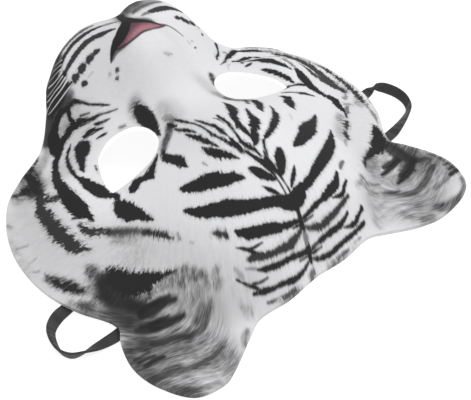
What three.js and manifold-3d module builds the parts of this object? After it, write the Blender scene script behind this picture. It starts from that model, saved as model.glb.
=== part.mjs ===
// A tiger's half mask of formed foam, lying face up, and its elastic strap.
// Millimetres. +X is the viewer's right of the face, +Y runs up the face to the ears, +Z is up.
// The mask lies on its rim at z = 0, and its outline is centred on x = y = 0.
import * as THREE from "three";
import { mergeVertices } from "three/addons/utils/BufferGeometryUtils.js";
import Module from "manifold-3d";

const wasm = await Module();
wasm.setup();

// Driving dimensions
const halfWidth = 103.6; // from the midline to the widest point of a cheek
const halfLength = 95.25; // half the way from the lip to the tops of the ears
const foam = 3; // thickness of the laminated foam sheet
const steepestWall = 3.2; // a steep wall's thickness is at most this many sheets, measured upright

const strapWidth = 6;
const strapThickness = 1.2;

// The outline of the right half as fractions of halfWidth and halfLength, from lip to forehead
const outlineHalf = [
  [0.0, -0.926], // lip, under the nose
  [0.152, -1.0], // lip, under a whisker pad
  [0.351, -0.913],
  [0.492, -0.731], // side of the muzzle
  [0.592, -0.641],
  [0.762, -0.578], // lower edge of the cheek
  [0.875, -0.512],
  [0.971, -0.322],
  [0.999, -0.137], // widest point of the cheek
  [0.986, 0.071],
  [0.935, 0.242],
  [0.842, 0.433], // notch between cheek and ear
  [0.88, 0.519],
  [0.913, 0.668],
  [0.897, 0.824],
  [0.811, 0.983], // top of the ear
  [0.663, 0.992],
  [0.584, 0.953],
  [0.422, 0.857],
  [0.34, 0.818], // notch between ear and forehead
  [0.167, 0.829],
  [0.0, 0.816], // middle of the forehead's edge
];
const notchIndex = 11; // the outline's point between cheek and ear
const foreheadIndex = 19; // the outline's point between ear and forehead

// Where the head's dome ends under the ear, between those two notches
const earRoot = [
  [80, 55.5],
  [64, 69.5],
  [50, 77.5],
];

// An eye hole, from its pointed outer corner round its rounded inner end
const eyeHole = [
  [54.4, -4.4],
  [40.5, -3.3],
  [30.7, -4.4],
  [22.2, -11.5],
  [21, -20],
  [25.1, -27.4],
  [37, -32.1],
  [45.8, -28.6],
  [51.3, -19.8],
  [54.7, -9],
  [54.4, -4.4],
];

// The forms that make the face: centre, half width, half length, height and how square each way
const forms = [
  { name: "face", x: 0, y: 0.3, w: 79.6, l: 85.1, h: 29, px: 2.4, py: 2.4 },
  { name: "forehead", x: 0, y: 38.3, w: 45.9, l: 38.2, h: 26, px: 2.4, py: 2.2 },
  { name: "bridge", x: 0, y: -14, w: 16.5, l: 47.7, h: 9.7, px: 2.5, py: 2.6 },
  { name: "muzzle", x: 0, y: -60.8, w: 43.7, l: 33.2, h: 19.7, px: 2.4, py: 2.4 },
  { name: "nose", x: 0, y: -49.1, w: 19.7, l: 16.3, h: 15.3, px: 2.8, py: 2.4 },
  { name: "pad", x: 32, y: -66.3, w: 19.7, l: 24.1, h: 1.4, px: 2, py: 2 },
  { name: "cheek", x: 69.5, y: -20.5, w: 18.9, l: 25.5, h: 11.8, px: 2, py: 2 },
  { name: "brow", x: 37, y: 6, w: 25.2, l: 16.3, h: 3, px: 2, py: 2 },
  { name: "philtrum", x: 0, y: -85.7, w: 6.6, l: 10.2, h: -7, px: 2, py: 2 },
];

// How far in from the edge the forms reach their height. Each later zone takes over between its limits.
const edgeRun = {
  side: { run: 14.9 },
  forehead: { run: 8.3, from: 32.5, to: 67.5 },
  lip: { run: 5.3, from: -42.5, to: -69.5 },
  earRoot: { run: 15, from: 37, to: 58, sideFrom: 36, sideTo: 56 },
};
const edgePower = 1.34; // how rounded the forms rise from the edge
const earRootPower = 2.3; // and from the root of an ear, where they start more softly

// Where the rim leaves the ground: over the strap, along the ears and up to the lip
const strapLift = { x: 97, y: 24, w: 40, l: 44, h: 3 };
const earRise = { x: 88, y: 42.7, dx: 0.62, dy: 0.785, length: 50.4, sideFrom: 40, sideTo: 90, h: 15.6 };
const earCrown = { x: 75.3, y: 73.8, w: 20, l: 22, h: 3.6 };
const lipRise = { from: -43.5, to: -82.5, h: 28.9 };

// The strap's route: x, y and how many degrees the band is tipped over from lying flat.
// From one end to the other it makes half a twist.
const strapRoute = [
  [66, 40.5, 0], // the end under the right temple
  [77, 42.2, 0],
  [88.5, 43, 0],
  [98.5, 42.8, 25],
  [105.3, 41.9, 62],
  [110.5, 39.8, 80],
  [113.2, 35, 78],
  [113, 29.2, 70],
  [110.6, 23, 60],
  [105.3, 19.2, 38],
  [98.6, 17.1, 6],
  [80, 14.2, 0],
  [0, 8.5, 0],
  [-85, 7.2, 0],
  [-105, 7, 0],
  [-108.6, 6.9, -20],
  [-111.4, 7.4, -62],
  [-113.4, 9.2, -92],
  [-115.8, 12.6, -110],
  [-117.8, 19, -110],
  [-117.4, 25.4, -105],
  [-114.1, 31.2, -105],
  [-107.6, 34.4, -125],
  [-101.6, 36.2, -145],
  [-95, 37.4, -172],
  [-87.5, 37.7, -180],
  [-77, 37.4, -180],
  [-66, 36.5, -180], // the end under the left temple
];
const stepsPerPoint = 3;
const halfTurn = 180;
const fixedPoints = 1; // route points at each end up to which the band lies against the inside
const groundPoints = 2; // and from which it lies on the ground
const strapGap = 0.5;

// Resolution of the faceted solids
const aroundSteps = 104; // along the outline
const ringSteps = 19; // from the middle out to the edge
const ringCrowding = 1.5; // above 1, rings crowd towards the edge
const headEdgeSteps = 240;
const eyeSteps = 36;
const middle = new THREE.Vector2(0, 2);

// Colours
const furWhite = 0xdedee0;
const strapBlack = 0x2b2b2c;

// A closed smooth curve through the right half's points and their mirror images
function mirroredCurve(half) {
  const mirrored = half
    .slice(1, -1)
    .reverse()
    .map(([x, y]) => [-x, y]);
  const points = [...half, ...mirrored].map(([x, y]) => new THREE.Vector3(x, y, 0));
  return new THREE.CatmullRomCurve3(points, true, "centripetal");
}

const outlinePoints = outlineHalf.map(([x, y]) => [x * halfWidth, y * halfLength]);
const outlineCurve = mirroredCurve(outlinePoints);
const headCurve = mirroredCurve([
  ...outlinePoints.slice(0, notchIndex + 1),
  ...earRoot,
  ...outlinePoints.slice(foreheadIndex),
]);
const headEdge = headCurve.getSpacedPoints(headEdgeSteps);

// How far a point lies inside the head's edge, and 0 outside it
function depthInHead(x, y) {
  let nearest = Infinity;
  let inside = false;
  for (let i = 0; i < headEdge.length - 1; i++) {
    const a = headEdge[i];
    const b = headEdge[i + 1];
    const dx = b.x - a.x;
    const dy = b.y - a.y;
    const along = ((x - a.x) * dx + (y - a.y) * dy) / (dx * dx + dy * dy);
    const t = THREE.MathUtils.clamp(along, 0, 1);
    nearest = Math.min(nearest, Math.hypot(x - a.x - t * dx, y - a.y - t * dy));
    if (a.y > y !== b.y > y && x < a.x + (dx * (y - a.y)) / dy) inside = !inside;
  }
  return inside ? nearest : 0;
}

// A form's height at a point, on both sides of the face
function formHeight(form, x, y) {
  const across = (centre) => Math.pow(Math.abs(x - centre) / form.w, form.px);
  const alongFace = Math.pow(Math.abs(y - form.y) / form.l, form.py);
  const here = Math.exp(-across(form.x) - alongFace);
  const there = form.x > 0 ? Math.exp(-across(-form.x) - alongFace) : 0;
  return form.h * (here + there);
}

const smooth = (value, from, to) => {
  const t = THREE.MathUtils.clamp((value - from) / (to - from), 0, 1);
  return t * t * (3 - 2 * t);
};

// A round mound of height 1, with its middle on each side of the face
function mound({ x: middleX, y: middleY, w, l }, x, y) {
  const reach = ((Math.abs(x) - middleX) / w) ** 2 + ((y - middleY) / l) ** 2;
  return Math.max(0, 1 - reach) ** 2;
}

// The rim's height above the ground
function rimHeight(x, y) {
  const side = Math.abs(x);
  const beyondRoot = (side - earRise.x) * earRise.dx + (y - earRise.y) * earRise.dy;
  const ear = smooth(beyondRoot, 0, earRise.length) * smooth(side, earRise.sideFrom, earRise.sideTo);
  const lip = smooth(y, lipRise.from, lipRise.to);
  return strapLift.h * mound(strapLift, x, y) + earRise.h * ear + lipRise.h * lip;
}

// How much of their height the forms have at a point, from 0 at the edge to 1
function raised(x, y) {
  const { side, forehead, lip, earRoot: root } = edgeRun;
  const toForehead = smooth(y, forehead.from, forehead.to);
  const toLip = smooth(y, lip.from, lip.to);
  const toRoot = smooth(y, root.from, root.to) * smooth(Math.abs(x), root.sideFrom, root.sideTo);
  const open = side.run + (forehead.run - side.run) * toForehead + (lip.run - side.run) * toLip;
  const run = THREE.MathUtils.lerp(open, root.run, toRoot);
  const power = THREE.MathUtils.lerp(edgePower, earRootPower, toRoot);
  return 1 - Math.exp(-Math.pow(depthInHead(x, y) / run, power));
}

// The printed front's height
function frontHeight(x, y) {
  const relief = forms.reduce((sum, form) => sum + formHeight(form, x, y), 0);
  const crown = earCrown.h * mound(earCrown, x, y);
  return foam + rimHeight(x, y) + raised(x, y) * relief + crown;
}

// The inside's height: one sheet under the front, measured square to it, and flat along the rim
function backHeight(x, y) {
  const step = 0.5;
  const slopeX = (frontHeight(x + step, y) - frontHeight(x - step, y)) / (2 * step);
  const slopeY = (frontHeight(x, y + step) - frontHeight(x, y - step)) / (2 * step);
  const upright = Math.min(steepestWall, Math.hypot(1, slopeX, slopeY));
  return Math.max(rimHeight(x, y), frontHeight(x, y) - foam * upright);
}

// A three.js geometry as a solid that can be cut
function toSolid(geometry) {
  const bare = geometry.clone();
  bare.deleteAttribute("normal");
  bare.deleteAttribute("uv");
  const merged = mergeVertices(bare, 1e-4);
  return new wasm.Manifold(
    new wasm.Mesh({
      numProp: 3,
      vertProperties: merged.attributes.position.array,
      triVerts: new Uint32Array(merged.index.array),
    }),
  );
}

// A solid as a three.js geometry again
function toGeometry(solid) {
  const mesh = solid.getMesh();
  const geometry = new THREE.BufferGeometry();
  geometry.setAttribute("position", new THREE.BufferAttribute(mesh.vertProperties, 3));
  geometry.setIndex(new THREE.BufferAttribute(mesh.triVerts, 1));
  geometry.computeVertexNormals();
  return geometry;
}

// The sheet is a thin turned disc, stretched to the outline and raised to the face's heights
function sheetGeometry() {
  const rings = Array.from({ length: ringSteps + 1 }, (_, i) => {
    return 1 - Math.pow(1 - i / ringSteps, ringCrowding);
  });
  const backProfile = rings.map((r) => new THREE.Vector2(r, -1));
  const frontProfile = rings.map((r) => new THREE.Vector2(r, 1)).reverse();
  const profile = [...backProfile, ...frontProfile];
  const height = (ring, x, y) => (profile[ring].y > 0 ? frontHeight(x, y) : backHeight(x, y));
  const disc = new THREE.LatheGeometry(profile, aroundSteps);
  const rim = outlineCurve.getSpacedPoints(aroundSteps);
  const position = disc.attributes.position;
  for (let turn = 0; turn <= aroundSteps; turn++) {
    for (let ring = 0; ring < profile.length; ring++) {
      const target = rim[turn % aroundSteps];
      const x = THREE.MathUtils.lerp(middle.x, target.x, profile[ring].x);
      const y = THREE.MathUtils.lerp(middle.y, target.y, profile[ring].x);
      position.setXYZ(turn * profile.length + ring, x, y, height(ring, x, y));
    }
  }
  for (let turn = 0; turn < aroundSteps; turn++) {
    for (let ring = 0; ring < profile.length - 1; ring++) {
      splitCloser(disc, turn, ring, profile.length, height);
    }
  }
  return disc;
}

// Splits one quad of the turned disc along the diagonal that lies closer to the true surface
function splitCloser(disc, turn, ring, profileLength, height) {
  const a = turn * profileLength + ring;
  const b = a + profileLength;
  const [pa, pb, pc, pd] = [a, b, b + 1, a + 1].map((index) =>
    new THREE.Vector3().fromBufferAttribute(disc.attributes.position, index),
  );
  const centreX = (pa.x + pb.x + pc.x + pd.x) / 4;
  const centreY = (pa.y + pb.y + pc.y + pd.y) / 4;
  const truth = height(ring, centreX, centreY);
  const errorAC = Math.abs((pa.z + pc.z) / 2 - truth);
  const errorBD = Math.abs((pb.z + pd.z) / 2 - truth);
  if (errorAC >= errorBD) return;
  const quad = turn * (profileLength - 1) + ring;
  disc.index.array.set([a, b, b + 1, b + 1, a + 1, a], quad * 6);
}

// A cutter for one eye hole, through the whole height
function eyeCutter(side) {
  const points = eyeHole.map(([x, y]) => new THREE.Vector3(side * x, y, 0));
  const curve = new THREE.CatmullRomCurve3(points, false, "centripetal");
  const shape = new THREE.Shape(curve.getSpacedPoints(eyeSteps).slice(0, -1));
  const cutter = new THREE.ExtrudeGeometry(shape, { depth: 120, bevelEnabled: false, steps: 1 });
  cutter.translate(0, 0, -20);
  return toSolid(cutter);
}

function makeMaskShell() {
  const sheet = toSolid(sheetGeometry());
  const cut = sheet.subtract(eyeCutter(1)).subtract(eyeCutter(-1));
  const material = new THREE.MeshStandardMaterial({ color: furWhite, roughness: 0.85, metalness: 0 });
  const mesh = new THREE.Mesh(toGeometry(cut), material);
  mesh.name = "mask_shell";
  return mesh;
}

// The strap is a flat band bent along its route. It tips on edge where it bends sideways,
// and its ends rise from the ground to the mask's inside.
function makeStrap() {
  const points = strapRoute.map(([x, y, tip]) => new THREE.Vector3(x, y, tip / halfTurn));
  const route = new THREE.CatmullRomCurve3(points, false, "centripetal");
  const spans = points.length - 1;
  const steps = spans * stepsPerPoint;
  const band = new THREE.BoxGeometry(1, strapWidth, strapThickness, steps, 1, 1);
  const position = band.attributes.position;
  for (let i = 0; i < position.count; i++) {
    const t = position.getX(i) + 0.5;
    const here = route.getPoint(t);
    const heading = route.getTangent(t);
    const sideways = new THREE.Vector2(-heading.y, heading.x).normalize();
    const tip = THREE.MathUtils.degToRad(here.z * halfTurn);
    const across = position.getY(i) * Math.cos(tip) - position.getZ(i) * Math.sin(tip);
    const lift = position.getY(i) * Math.sin(tip) + position.getZ(i) * Math.cos(tip);
    const x = here.x + sideways.x * across;
    const y = here.y + sideways.y * across;
    const halfHeight = (strapWidth * Math.abs(Math.sin(tip)) + strapThickness * Math.abs(Math.cos(tip))) / 2;
    const inside = backHeight(x, y) - strapGap - strapThickness / 2;
    const pointsFromEnd = Math.min(t, 1 - t) * spans;
    const up = 1 - smooth(pointsFromEnd, fixedPoints, groundPoints);
    const centre = THREE.MathUtils.lerp(halfHeight, Math.max(halfHeight, inside), up);
    position.setXYZ(i, x, y, centre + lift);
  }
  const geometry = toGeometry(toSolid(band));
  const material = new THREE.MeshStandardMaterial({ color: strapBlack, roughness: 0.9, metalness: 0 });
  const mesh = new THREE.Mesh(geometry, material);
  mesh.name = "elastic_strap";
  return mesh;
}

const mask = new THREE.Group();
mask.name = "foam tiger half mask";
mask.add(makeMaskShell(), makeStrap());

export default mask;
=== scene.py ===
# %% [markdown]
# A tiger's half mask of thin formed foam, lying face up, with a flat elastic strap.
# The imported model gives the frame: metres, +X to the viewer's right of the face, +Y up the face, +Z up.
# Every piece below is built straight into that frame, so nothing has to be fitted afterwards.

# %% Tools and frame
import math
import bmesh
import bpy
import numpy as np
from mathutils import Matrix, Quaternion, Vector


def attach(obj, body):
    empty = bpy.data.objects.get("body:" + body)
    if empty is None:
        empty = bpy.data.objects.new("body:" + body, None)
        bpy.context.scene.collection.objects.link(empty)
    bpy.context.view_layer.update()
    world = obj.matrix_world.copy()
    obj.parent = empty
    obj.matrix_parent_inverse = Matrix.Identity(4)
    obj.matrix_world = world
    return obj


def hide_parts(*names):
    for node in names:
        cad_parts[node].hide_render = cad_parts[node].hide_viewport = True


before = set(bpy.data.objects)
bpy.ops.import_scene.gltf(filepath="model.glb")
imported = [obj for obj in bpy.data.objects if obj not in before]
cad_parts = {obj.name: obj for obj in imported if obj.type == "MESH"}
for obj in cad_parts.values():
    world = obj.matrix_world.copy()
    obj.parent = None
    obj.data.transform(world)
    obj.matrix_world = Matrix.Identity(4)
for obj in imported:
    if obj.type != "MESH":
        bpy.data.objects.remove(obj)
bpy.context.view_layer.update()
MM = 0.001

# %% [markdown]
# The photograph looks down on the mask over one side of the forehead, so the muzzle points away to the
# upper left. The direction, the distance and the lens were worked out from the mask's outline and eye
# holes. Turning the camera from its target would do as well, but angles say plainly what it does.

# %% Camera
# The place is in metres, the roll in radians, the focal length in pixels of a picture this wide
CAMERA_PLACE = Vector((0.16578, 0.21494, 0.32572))
LOOKING_DOWN = math.radians(51.563)
LOOKING_TOWARDS = math.radians(40.238)
CAMERA_ROLL = 0.0029
PICTURE_WIDTH = 471
FOCAL_PIXELS = 823.8
SENSOR_MM = 36

away = Vector((-math.sin(LOOKING_TOWARDS), -math.cos(LOOKING_TOWARDS), 0))
view_line = away * math.cos(LOOKING_DOWN) - Vector((0, 0, 1)) * math.sin(LOOKING_DOWN)
camera_data = bpy.data.cameras.new("camera")
camera_data.sensor_width = SENSOR_MM
camera_data.lens = FOCAL_PIXELS / PICTURE_WIDTH * SENSOR_MM
camera = bpy.data.objects.new("camera", camera_data)
camera.rotation_mode = "QUATERNION"
camera.rotation_quaternion = view_line.to_track_quat("-Z", "Y") @ Quaternion((0, 0, 1), CAMERA_ROLL)
camera.location = CAMERA_PLACE
bpy.context.scene.collection.objects.link(camera)
bpy.context.scene.camera = camera
print("lens", round(camera_data.lens, 2), "mm")

# %% [markdown]
# The mask's edge, its eye holes and the strap's route are smooth curves through a few points each.
# A Blender curve could carry them, but a short function gives points that heights can be worked out for.
# This is the centripetal Catmull-Rom curve, which passes through its points and never loops between them.

# %% Smooth curves
def smooth_curve(points, closed, steps):
    points = np.array(points, float)
    if closed:
        points = np.vstack([points[-1:], points, points[:2]])
    else:
        points = np.vstack([2 * points[0] - points[1], points, 2 * points[-1] - points[-2]])
    a, b, c, d = points[:-3], points[1:-2], points[2:-1], points[3:]
    gap = [np.linalg.norm(q - p, axis=1)[:, None] ** 0.5 for p, q in ((a, b), (b, c), (c, d))]
    leave = ((b - a) / gap[0] - (c - a) / (gap[0] + gap[1]) + (c - b) / gap[1]) * gap[1]
    arrive = ((c - b) / gap[1] - (d - b) / (gap[1] + gap[2]) + (d - c) / gap[2]) * gap[1]
    t = (np.arange(steps) / steps)[None, :, None]
    b, c, leave, arrive = b[:, None], c[:, None], leave[:, None], arrive[:, None]
    bend = (2 * t**3 - 3 * t**2 + 1) * b + (t**3 - 2 * t**2 + t) * leave
    bend = bend + (3 * t**2 - 2 * t**3) * c + (t**3 - t**2) * arrive
    bend = bend.reshape(-1, points.shape[1])
    return bend if closed else np.vstack([bend, c[-1]])


# %% The mask's edge and eye holes, in millimetres
HALF_WIDTH = 103.6
HALF_LENGTH = 95.25
# The right half from the lip up, as shares of the half width and the half length
OUTLINE_HALF = [
    (0.0, -0.926), (0.152, -1.0), (0.351, -0.913), (0.492, -0.731), (0.592, -0.641), (0.762, -0.578),
    (0.875, -0.512), (0.971, -0.322), (0.999, -0.137), (0.986, 0.071), (0.935, 0.242), (0.842, 0.433),
    (0.88, 0.519), (0.913, 0.668), (0.897, 0.824), (0.811, 0.983), (0.663, 0.992), (0.584, 0.953),
    (0.422, 0.857), (0.34, 0.818), (0.167, 0.829), (0.0, 0.816),
]
CHEEK_NOTCH = 11
FOREHEAD_NOTCH = 19
# The head's own edge passes below the ear through these points
EAR_ROOT = [(80, 55.5), (64, 69.5), (50, 77.5)]
EYE_HOLE = [
    (54.4, -4.4), (40.5, -3.3), (30.7, -4.4), (22.2, -11.5), (21, -20), (25.1, -27.4),
    (37, -32.1), (45.8, -28.6), (51.3, -19.8), (54.7, -9), (54.4, -4.4),
]
OUTLINE_STEPS = 10
HEAD_STEPS = 8
EYE_STEPS = 10


def mirrored_curve(half, steps):
    return smooth_curve(half + [(-x, y) for x, y in half[-2:0:-1]], True, steps)


outline_half = [(x * HALF_WIDTH, y * HALF_LENGTH) for x, y in OUTLINE_HALF]
head_half = outline_half[: CHEEK_NOTCH + 1] + EAR_ROOT + outline_half[FOREHEAD_NOTCH:]
outline = mirrored_curve(outline_half, OUTLINE_STEPS)
head_edge = mirrored_curve(head_half, HEAD_STEPS)
right_eye = smooth_curve(EYE_HOLE, False, EYE_STEPS)[:-1]
left_eye = right_eye * (-1, 1)
print("outline points", len(outline), "head edge", len(head_edge), "eye hole", len(right_eye))

# %% [markdown]
# The sheet was pressed in a mould, so every point of it has one height above the ground. The heights are
# the same sum of rounded forms as the solid's: dome, forehead, bridge, muzzle, nose, cheeks and brows.
# They rise from the edge inwards, and the rim itself leaves the ground at the ears, strap and lip.

# %% Distances to an edge
BATCH = 4000


def edge_distance(x, y, polygon):
    """How far each point lies from a closed line, whether it is inside, and the nearest place on it."""
    start = polygon
    run = np.roll(polygon, -1, 0) - start
    square = (run**2).sum(1)
    nearest = np.zeros((len(x), 2))
    distance = np.zeros(len(x))
    inside = np.zeros(len(x), bool)
    for first in range(0, len(x), BATCH):
        part = slice(first, first + BATCH)
        dx = x[part, None] - start[:, 0]
        dy = y[part, None] - start[:, 1]
        t = np.clip((dx * run[:, 0] + dy * run[:, 1]) / square, 0, 1)
        gap = np.hypot(dx - t * run[:, 0], dy - t * run[:, 1])
        best = gap.argmin(1)
        row = np.arange(len(best))
        distance[part] = gap[row, best]
        nearest[part] = start[best] + t[row, best][:, None] * run[best]
        crossed = (dy < 0) != (dy - run[:, 1] < 0)
        left = dx < run[:, 0] * dy / np.where(run[:, 1] == 0, 1, run[:, 1])
        inside[part] = (crossed & left).sum(1) % 2 == 1
    return distance, inside, nearest


# %% Forms and rim of the sheet, in millimetres
FOAM = 3.0
STEEPEST_WALL = 3.2
FORMS = {
    # middle x and y, half width, half length, height, how square across and along
    "face": (0, 0.3, 79.6, 85.1, 29, 2.4, 2.4),
    "forehead": (0, 38.3, 45.9, 38.2, 26, 2.4, 2.2),
    "bridge": (0, -14, 16.5, 47.7, 9.7, 2.5, 2.6),
    "muzzle": (0, -60.8, 43.7, 33.2, 19.7, 2.4, 2.4),
    "nose": (0, -49.1, 19.7, 16.3, 15.3, 2.8, 2.4),
    "pad": (32, -66.3, 19.7, 24.1, 1.4, 2, 2),
    "cheek": (69.5, -20.5, 18.9, 25.5, 11.8, 2, 2),
    "brow": (37, 6, 25.2, 16.3, 3, 2, 2),
    "philtrum": (0, -85.7, 6.6, 10.2, -7, 2, 2),
}
# Round mounds: middle x and y, half width, half length
OVER_STRAP = (97, 24, 40, 44)
EAR_CROWN = (75.3, 73.8, 20, 22)
STRAP_LIFT = 3
CROWN_LIFT = 3.6
# The rim rises along the ears, in this direction from their roots, and up to the lip
EAR_START = (88, 42.7)
EAR_WAY = (0.62, 0.785)
EAR_LENGTH = 50.4
EAR_RISE = 15.6
LIP_RISE = 28.9
# How far in from the edge the forms reach their height, and how rounded they rise
SIDE_RUN = 14.9
FOREHEAD_RUN = 8.3
LIP_RUN = 5.3
EAR_ROOT_RUN = 15
EDGE_POWER = 1.34
EAR_ROOT_POWER = 2.3
print("forms", len(FORMS))

# %% Heights of the formed sheet
def ease(value, start, end):
    """Rises smoothly from 0 at the start to 1 at the end."""
    t = np.clip((value - start) / (end - start), 0, 1)
    return t * t * (3 - 2 * t)


def mound(x, y, middle_x, middle_y, width, length):
    """A round mound of height 1, with its middle on each side of the face."""
    reach = ((np.abs(x) - middle_x) / width) ** 2 + ((y - middle_y) / length) ** 2
    return np.maximum(0, 1 - reach) ** 2


def rim_height(x, y):
    """How far the rim is above the ground."""
    side = np.abs(x)
    beyond_root = (side - EAR_START[0]) * EAR_WAY[0] + (y - EAR_START[1]) * EAR_WAY[1]
    ear = EAR_RISE * ease(beyond_root, 0, EAR_LENGTH) * ease(side, 40, 90)
    lip = LIP_RISE * ease(y, -43.5, -82.5)
    return STRAP_LIFT * mound(x, y, *OVER_STRAP) + ear + lip


def form_height(x, y, form):
    middle_x, middle_y, width, length, height, square_x, square_y = form
    along = np.abs((y - middle_y) / length) ** square_y
    bell = np.exp(-(np.abs((x - middle_x) / width) ** square_x) - along)
    if middle_x:
        bell = bell + np.exp(-(np.abs((x + middle_x) / width) ** square_x) - along)
    return height * bell


def front_height(x, y):
    """The printed front: the rim, the forms as far as they have risen, and the crown of each ear."""
    distance, inside, _ = edge_distance(x, y, head_edge)
    depth = np.where(inside, distance, 0)
    to_forehead = ease(y, 32.5, 67.5)
    to_lip = ease(y, -42.5, -69.5)
    to_root = ease(y, 37, 58) * ease(np.abs(x), 36, 56)
    run = SIDE_RUN + (FOREHEAD_RUN - SIDE_RUN) * to_forehead + (LIP_RUN - SIDE_RUN) * to_lip
    run = run + (EAR_ROOT_RUN - run) * to_root
    power = EDGE_POWER + (EAR_ROOT_POWER - EDGE_POWER) * to_root
    raised = 1 - np.exp(-((depth / run) ** power))
    relief = sum(form_height(x, y, form) for form in FORMS.values())
    return FOAM + rim_height(x, y) + raised * relief + CROWN_LIFT * mound(x, y, *EAR_CROWN)


def back_height(x, y):
    """The inside lies one sheet below the front, measured square to it, and never under the rim."""
    step = 0.5
    slope_x = front_height(x + step, y) - front_height(x - step, y)
    slope_y = front_height(x, y + step) - front_height(x, y - step)
    upright = np.minimum(STEEPEST_WALL, np.sqrt(1 + (slope_x**2 + slope_y**2) / (2 * step) ** 2))
    return np.maximum(rim_height(x, y), front_height(x, y) - FOAM * upright)


middle = np.zeros(1)
print("height over the middle", round(float(front_height(middle, middle)[0]), 1), "mm")

# %% [markdown]
# The strap is flat woven elastic. It lies loose: a loop shows at each temple, and between them it runs
# along the ground under the mask. It bends over its flat side, so in the loops it stands on its edge.
# A curve with a bevel would do, but sweeping a section step by step lets each step have its own tilt.

# %% Strap route: x, y in millimetres and degrees tipped over from lying flat
STRAP_WIDTH = 6.0
STRAP_THICKNESS = 1.2
STRAP_ROUTE = [
    (66, 40.5, 0), (77, 42.2, 0), (88.5, 43, 0), (98.5, 42.8, 25), (105.3, 41.9, 62), (110.5, 39.8, 80),
    (113.2, 35, 78), (113, 29.2, 70), (110.6, 23, 60), (105.3, 19.2, 38), (98.6, 17.1, 6), (80, 14.2, 0),
    (0, 8.5, 0), (-85, 7.2, 0), (-105, 7, 0), (-108.6, 6.9, -20), (-111.4, 7.4, -62),
    (-113.4, 9.2, -92), (-115.8, 12.6, -110), (-117.8, 19, -110), (-117.4, 25.4, -105),
    (-114.1, 31.2, -105), (-107.6, 34.4, -125), (-101.6, 36.2, -145), (-95, 37.4, -172),
    (-87.5, 37.7, -180), (-77, 37.4, -180), (-66, 36.5, -180),
]
STEPS_PER_POINT = 6
STRAP_GAP = 0.5
# Up to the first point from an end the band lies against the inside, from the second on the ground
FIXED_POINT = 1
GROUND_POINT = 2

# The tilt is slowed by the same factor as in the solid, so that both curves bend alike
route = smooth_curve([(x, y, tip / 180) for x, y, tip in STRAP_ROUTE], False, STEPS_PER_POINT)
tips = route[:, 2] * math.pi
heading = np.gradient(route[:, :2], axis=0)
heading = heading / np.linalg.norm(heading, axis=1)[:, None]
half_height = (STRAP_WIDTH * np.abs(np.sin(tips)) + STRAP_THICKNESS * np.abs(np.cos(tips))) / 2
from_end = np.minimum(np.arange(len(route)), np.arange(len(route))[::-1]) / STEPS_PER_POINT
under_shell = back_height(route[:, 0], route[:, 1]) - STRAP_GAP - STRAP_THICKNESS / 2
up = 1 - ease(from_end, FIXED_POINT, GROUND_POINT)
strap_z = half_height + (np.maximum(half_height, under_shell) - half_height) * up
strap_centres = np.column_stack([route[:, :2], strap_z]) * MM


# %% Strap: a section with shallow ribs and thinner selvages, swept along the route
def place_on_route(step):
    hx, hy = heading[step]
    sine, cosine = math.sin(tips[step]), math.cos(tips[step])
    across = Vector((-hy * cosine, hx * cosine, sine))
    through = Vector((hy * sine, -hx * sine, cosine))
    matrix = Matrix((across, through, Vector((hx, hy, 0)))).transposed().to_4x4()
    matrix.translation = strap_centres[step]
    return matrix


RIBS = 8
RIB_HEIGHT = 0.09
SELVAGE = 0.55

bm = bmesh.new()
bmesh.ops.create_grid(bm, x_segments=2 * RIBS, y_segments=1, size=1)
bmesh.ops.scale(bm, vec=(STRAP_WIDTH / 2 * MM, (STRAP_THICKNESS / 2 - RIB_HEIGHT) * MM, 1), verts=bm.verts)
bmesh.ops.dissolve_faces(bm, faces=bm.faces[:])
along_strap = bm.verts.layers.float.new("along_mm")
across_strap = bm.verts.layers.float.new("across_mm")
for vert in bm.verts:
    column = round((vert.co.x / (STRAP_WIDTH / 2 * MM) + 1) * RIBS)
    vert[across_strap] = vert.co.x / MM
    if column % 2:
        vert.co.y += math.copysign(RIB_HEIGHT * MM, vert.co.y)
    if column in (0, 2 * RIBS):
        vert.co.y *= SELVAGE
bmesh.ops.transform(bm, matrix=place_on_route(0), verts=bm.verts)
end_face = bm.faces[:][0]
walked = 0.0
for step in range(1, len(route)):
    turn = place_on_route(step) @ place_on_route(step - 1).inverted()
    swept = bmesh.ops.extrude_face_region(bm, geom=[end_face], use_keep_orig=step == 1)
    ring = [item for item in swept["geom"] if isinstance(item, bmesh.types.BMVert)]
    walked += float(np.linalg.norm(strap_centres[step] - strap_centres[step - 1])) / MM
    for vert in ring:
        vert[along_strap] = walked
    bmesh.ops.transform(bm, matrix=turn, verts=ring)
    end_face = next(item for item in swept["geom"] if isinstance(item, bmesh.types.BMFace))
bmesh.ops.recalc_face_normals(bm, faces=bm.faces[:])
for face in bm.faces:
    face.smooth = len(face.verts) == 4
strap_mesh = bpy.data.meshes.new("elastic_band")
bm.to_mesh(strap_mesh)
bm.free()
strap = bpy.data.objects.new("elastic_band", strap_mesh)
bpy.context.scene.collection.objects.link(strap)
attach(strap, "root")
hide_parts("elastic_strap")
print("strap faces", len(strap_mesh.polygons))

# %% [markdown]
# The print is a white tiger's face: near-black stripes with ragged, furry edges on pale fur. The fabric
# could carry a painted image, but here every stripe is a stroke with its own route and widths. Each point
# of the sheet learns how far inside a stroke it lies, and the material turns that distance into an edge.

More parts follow.
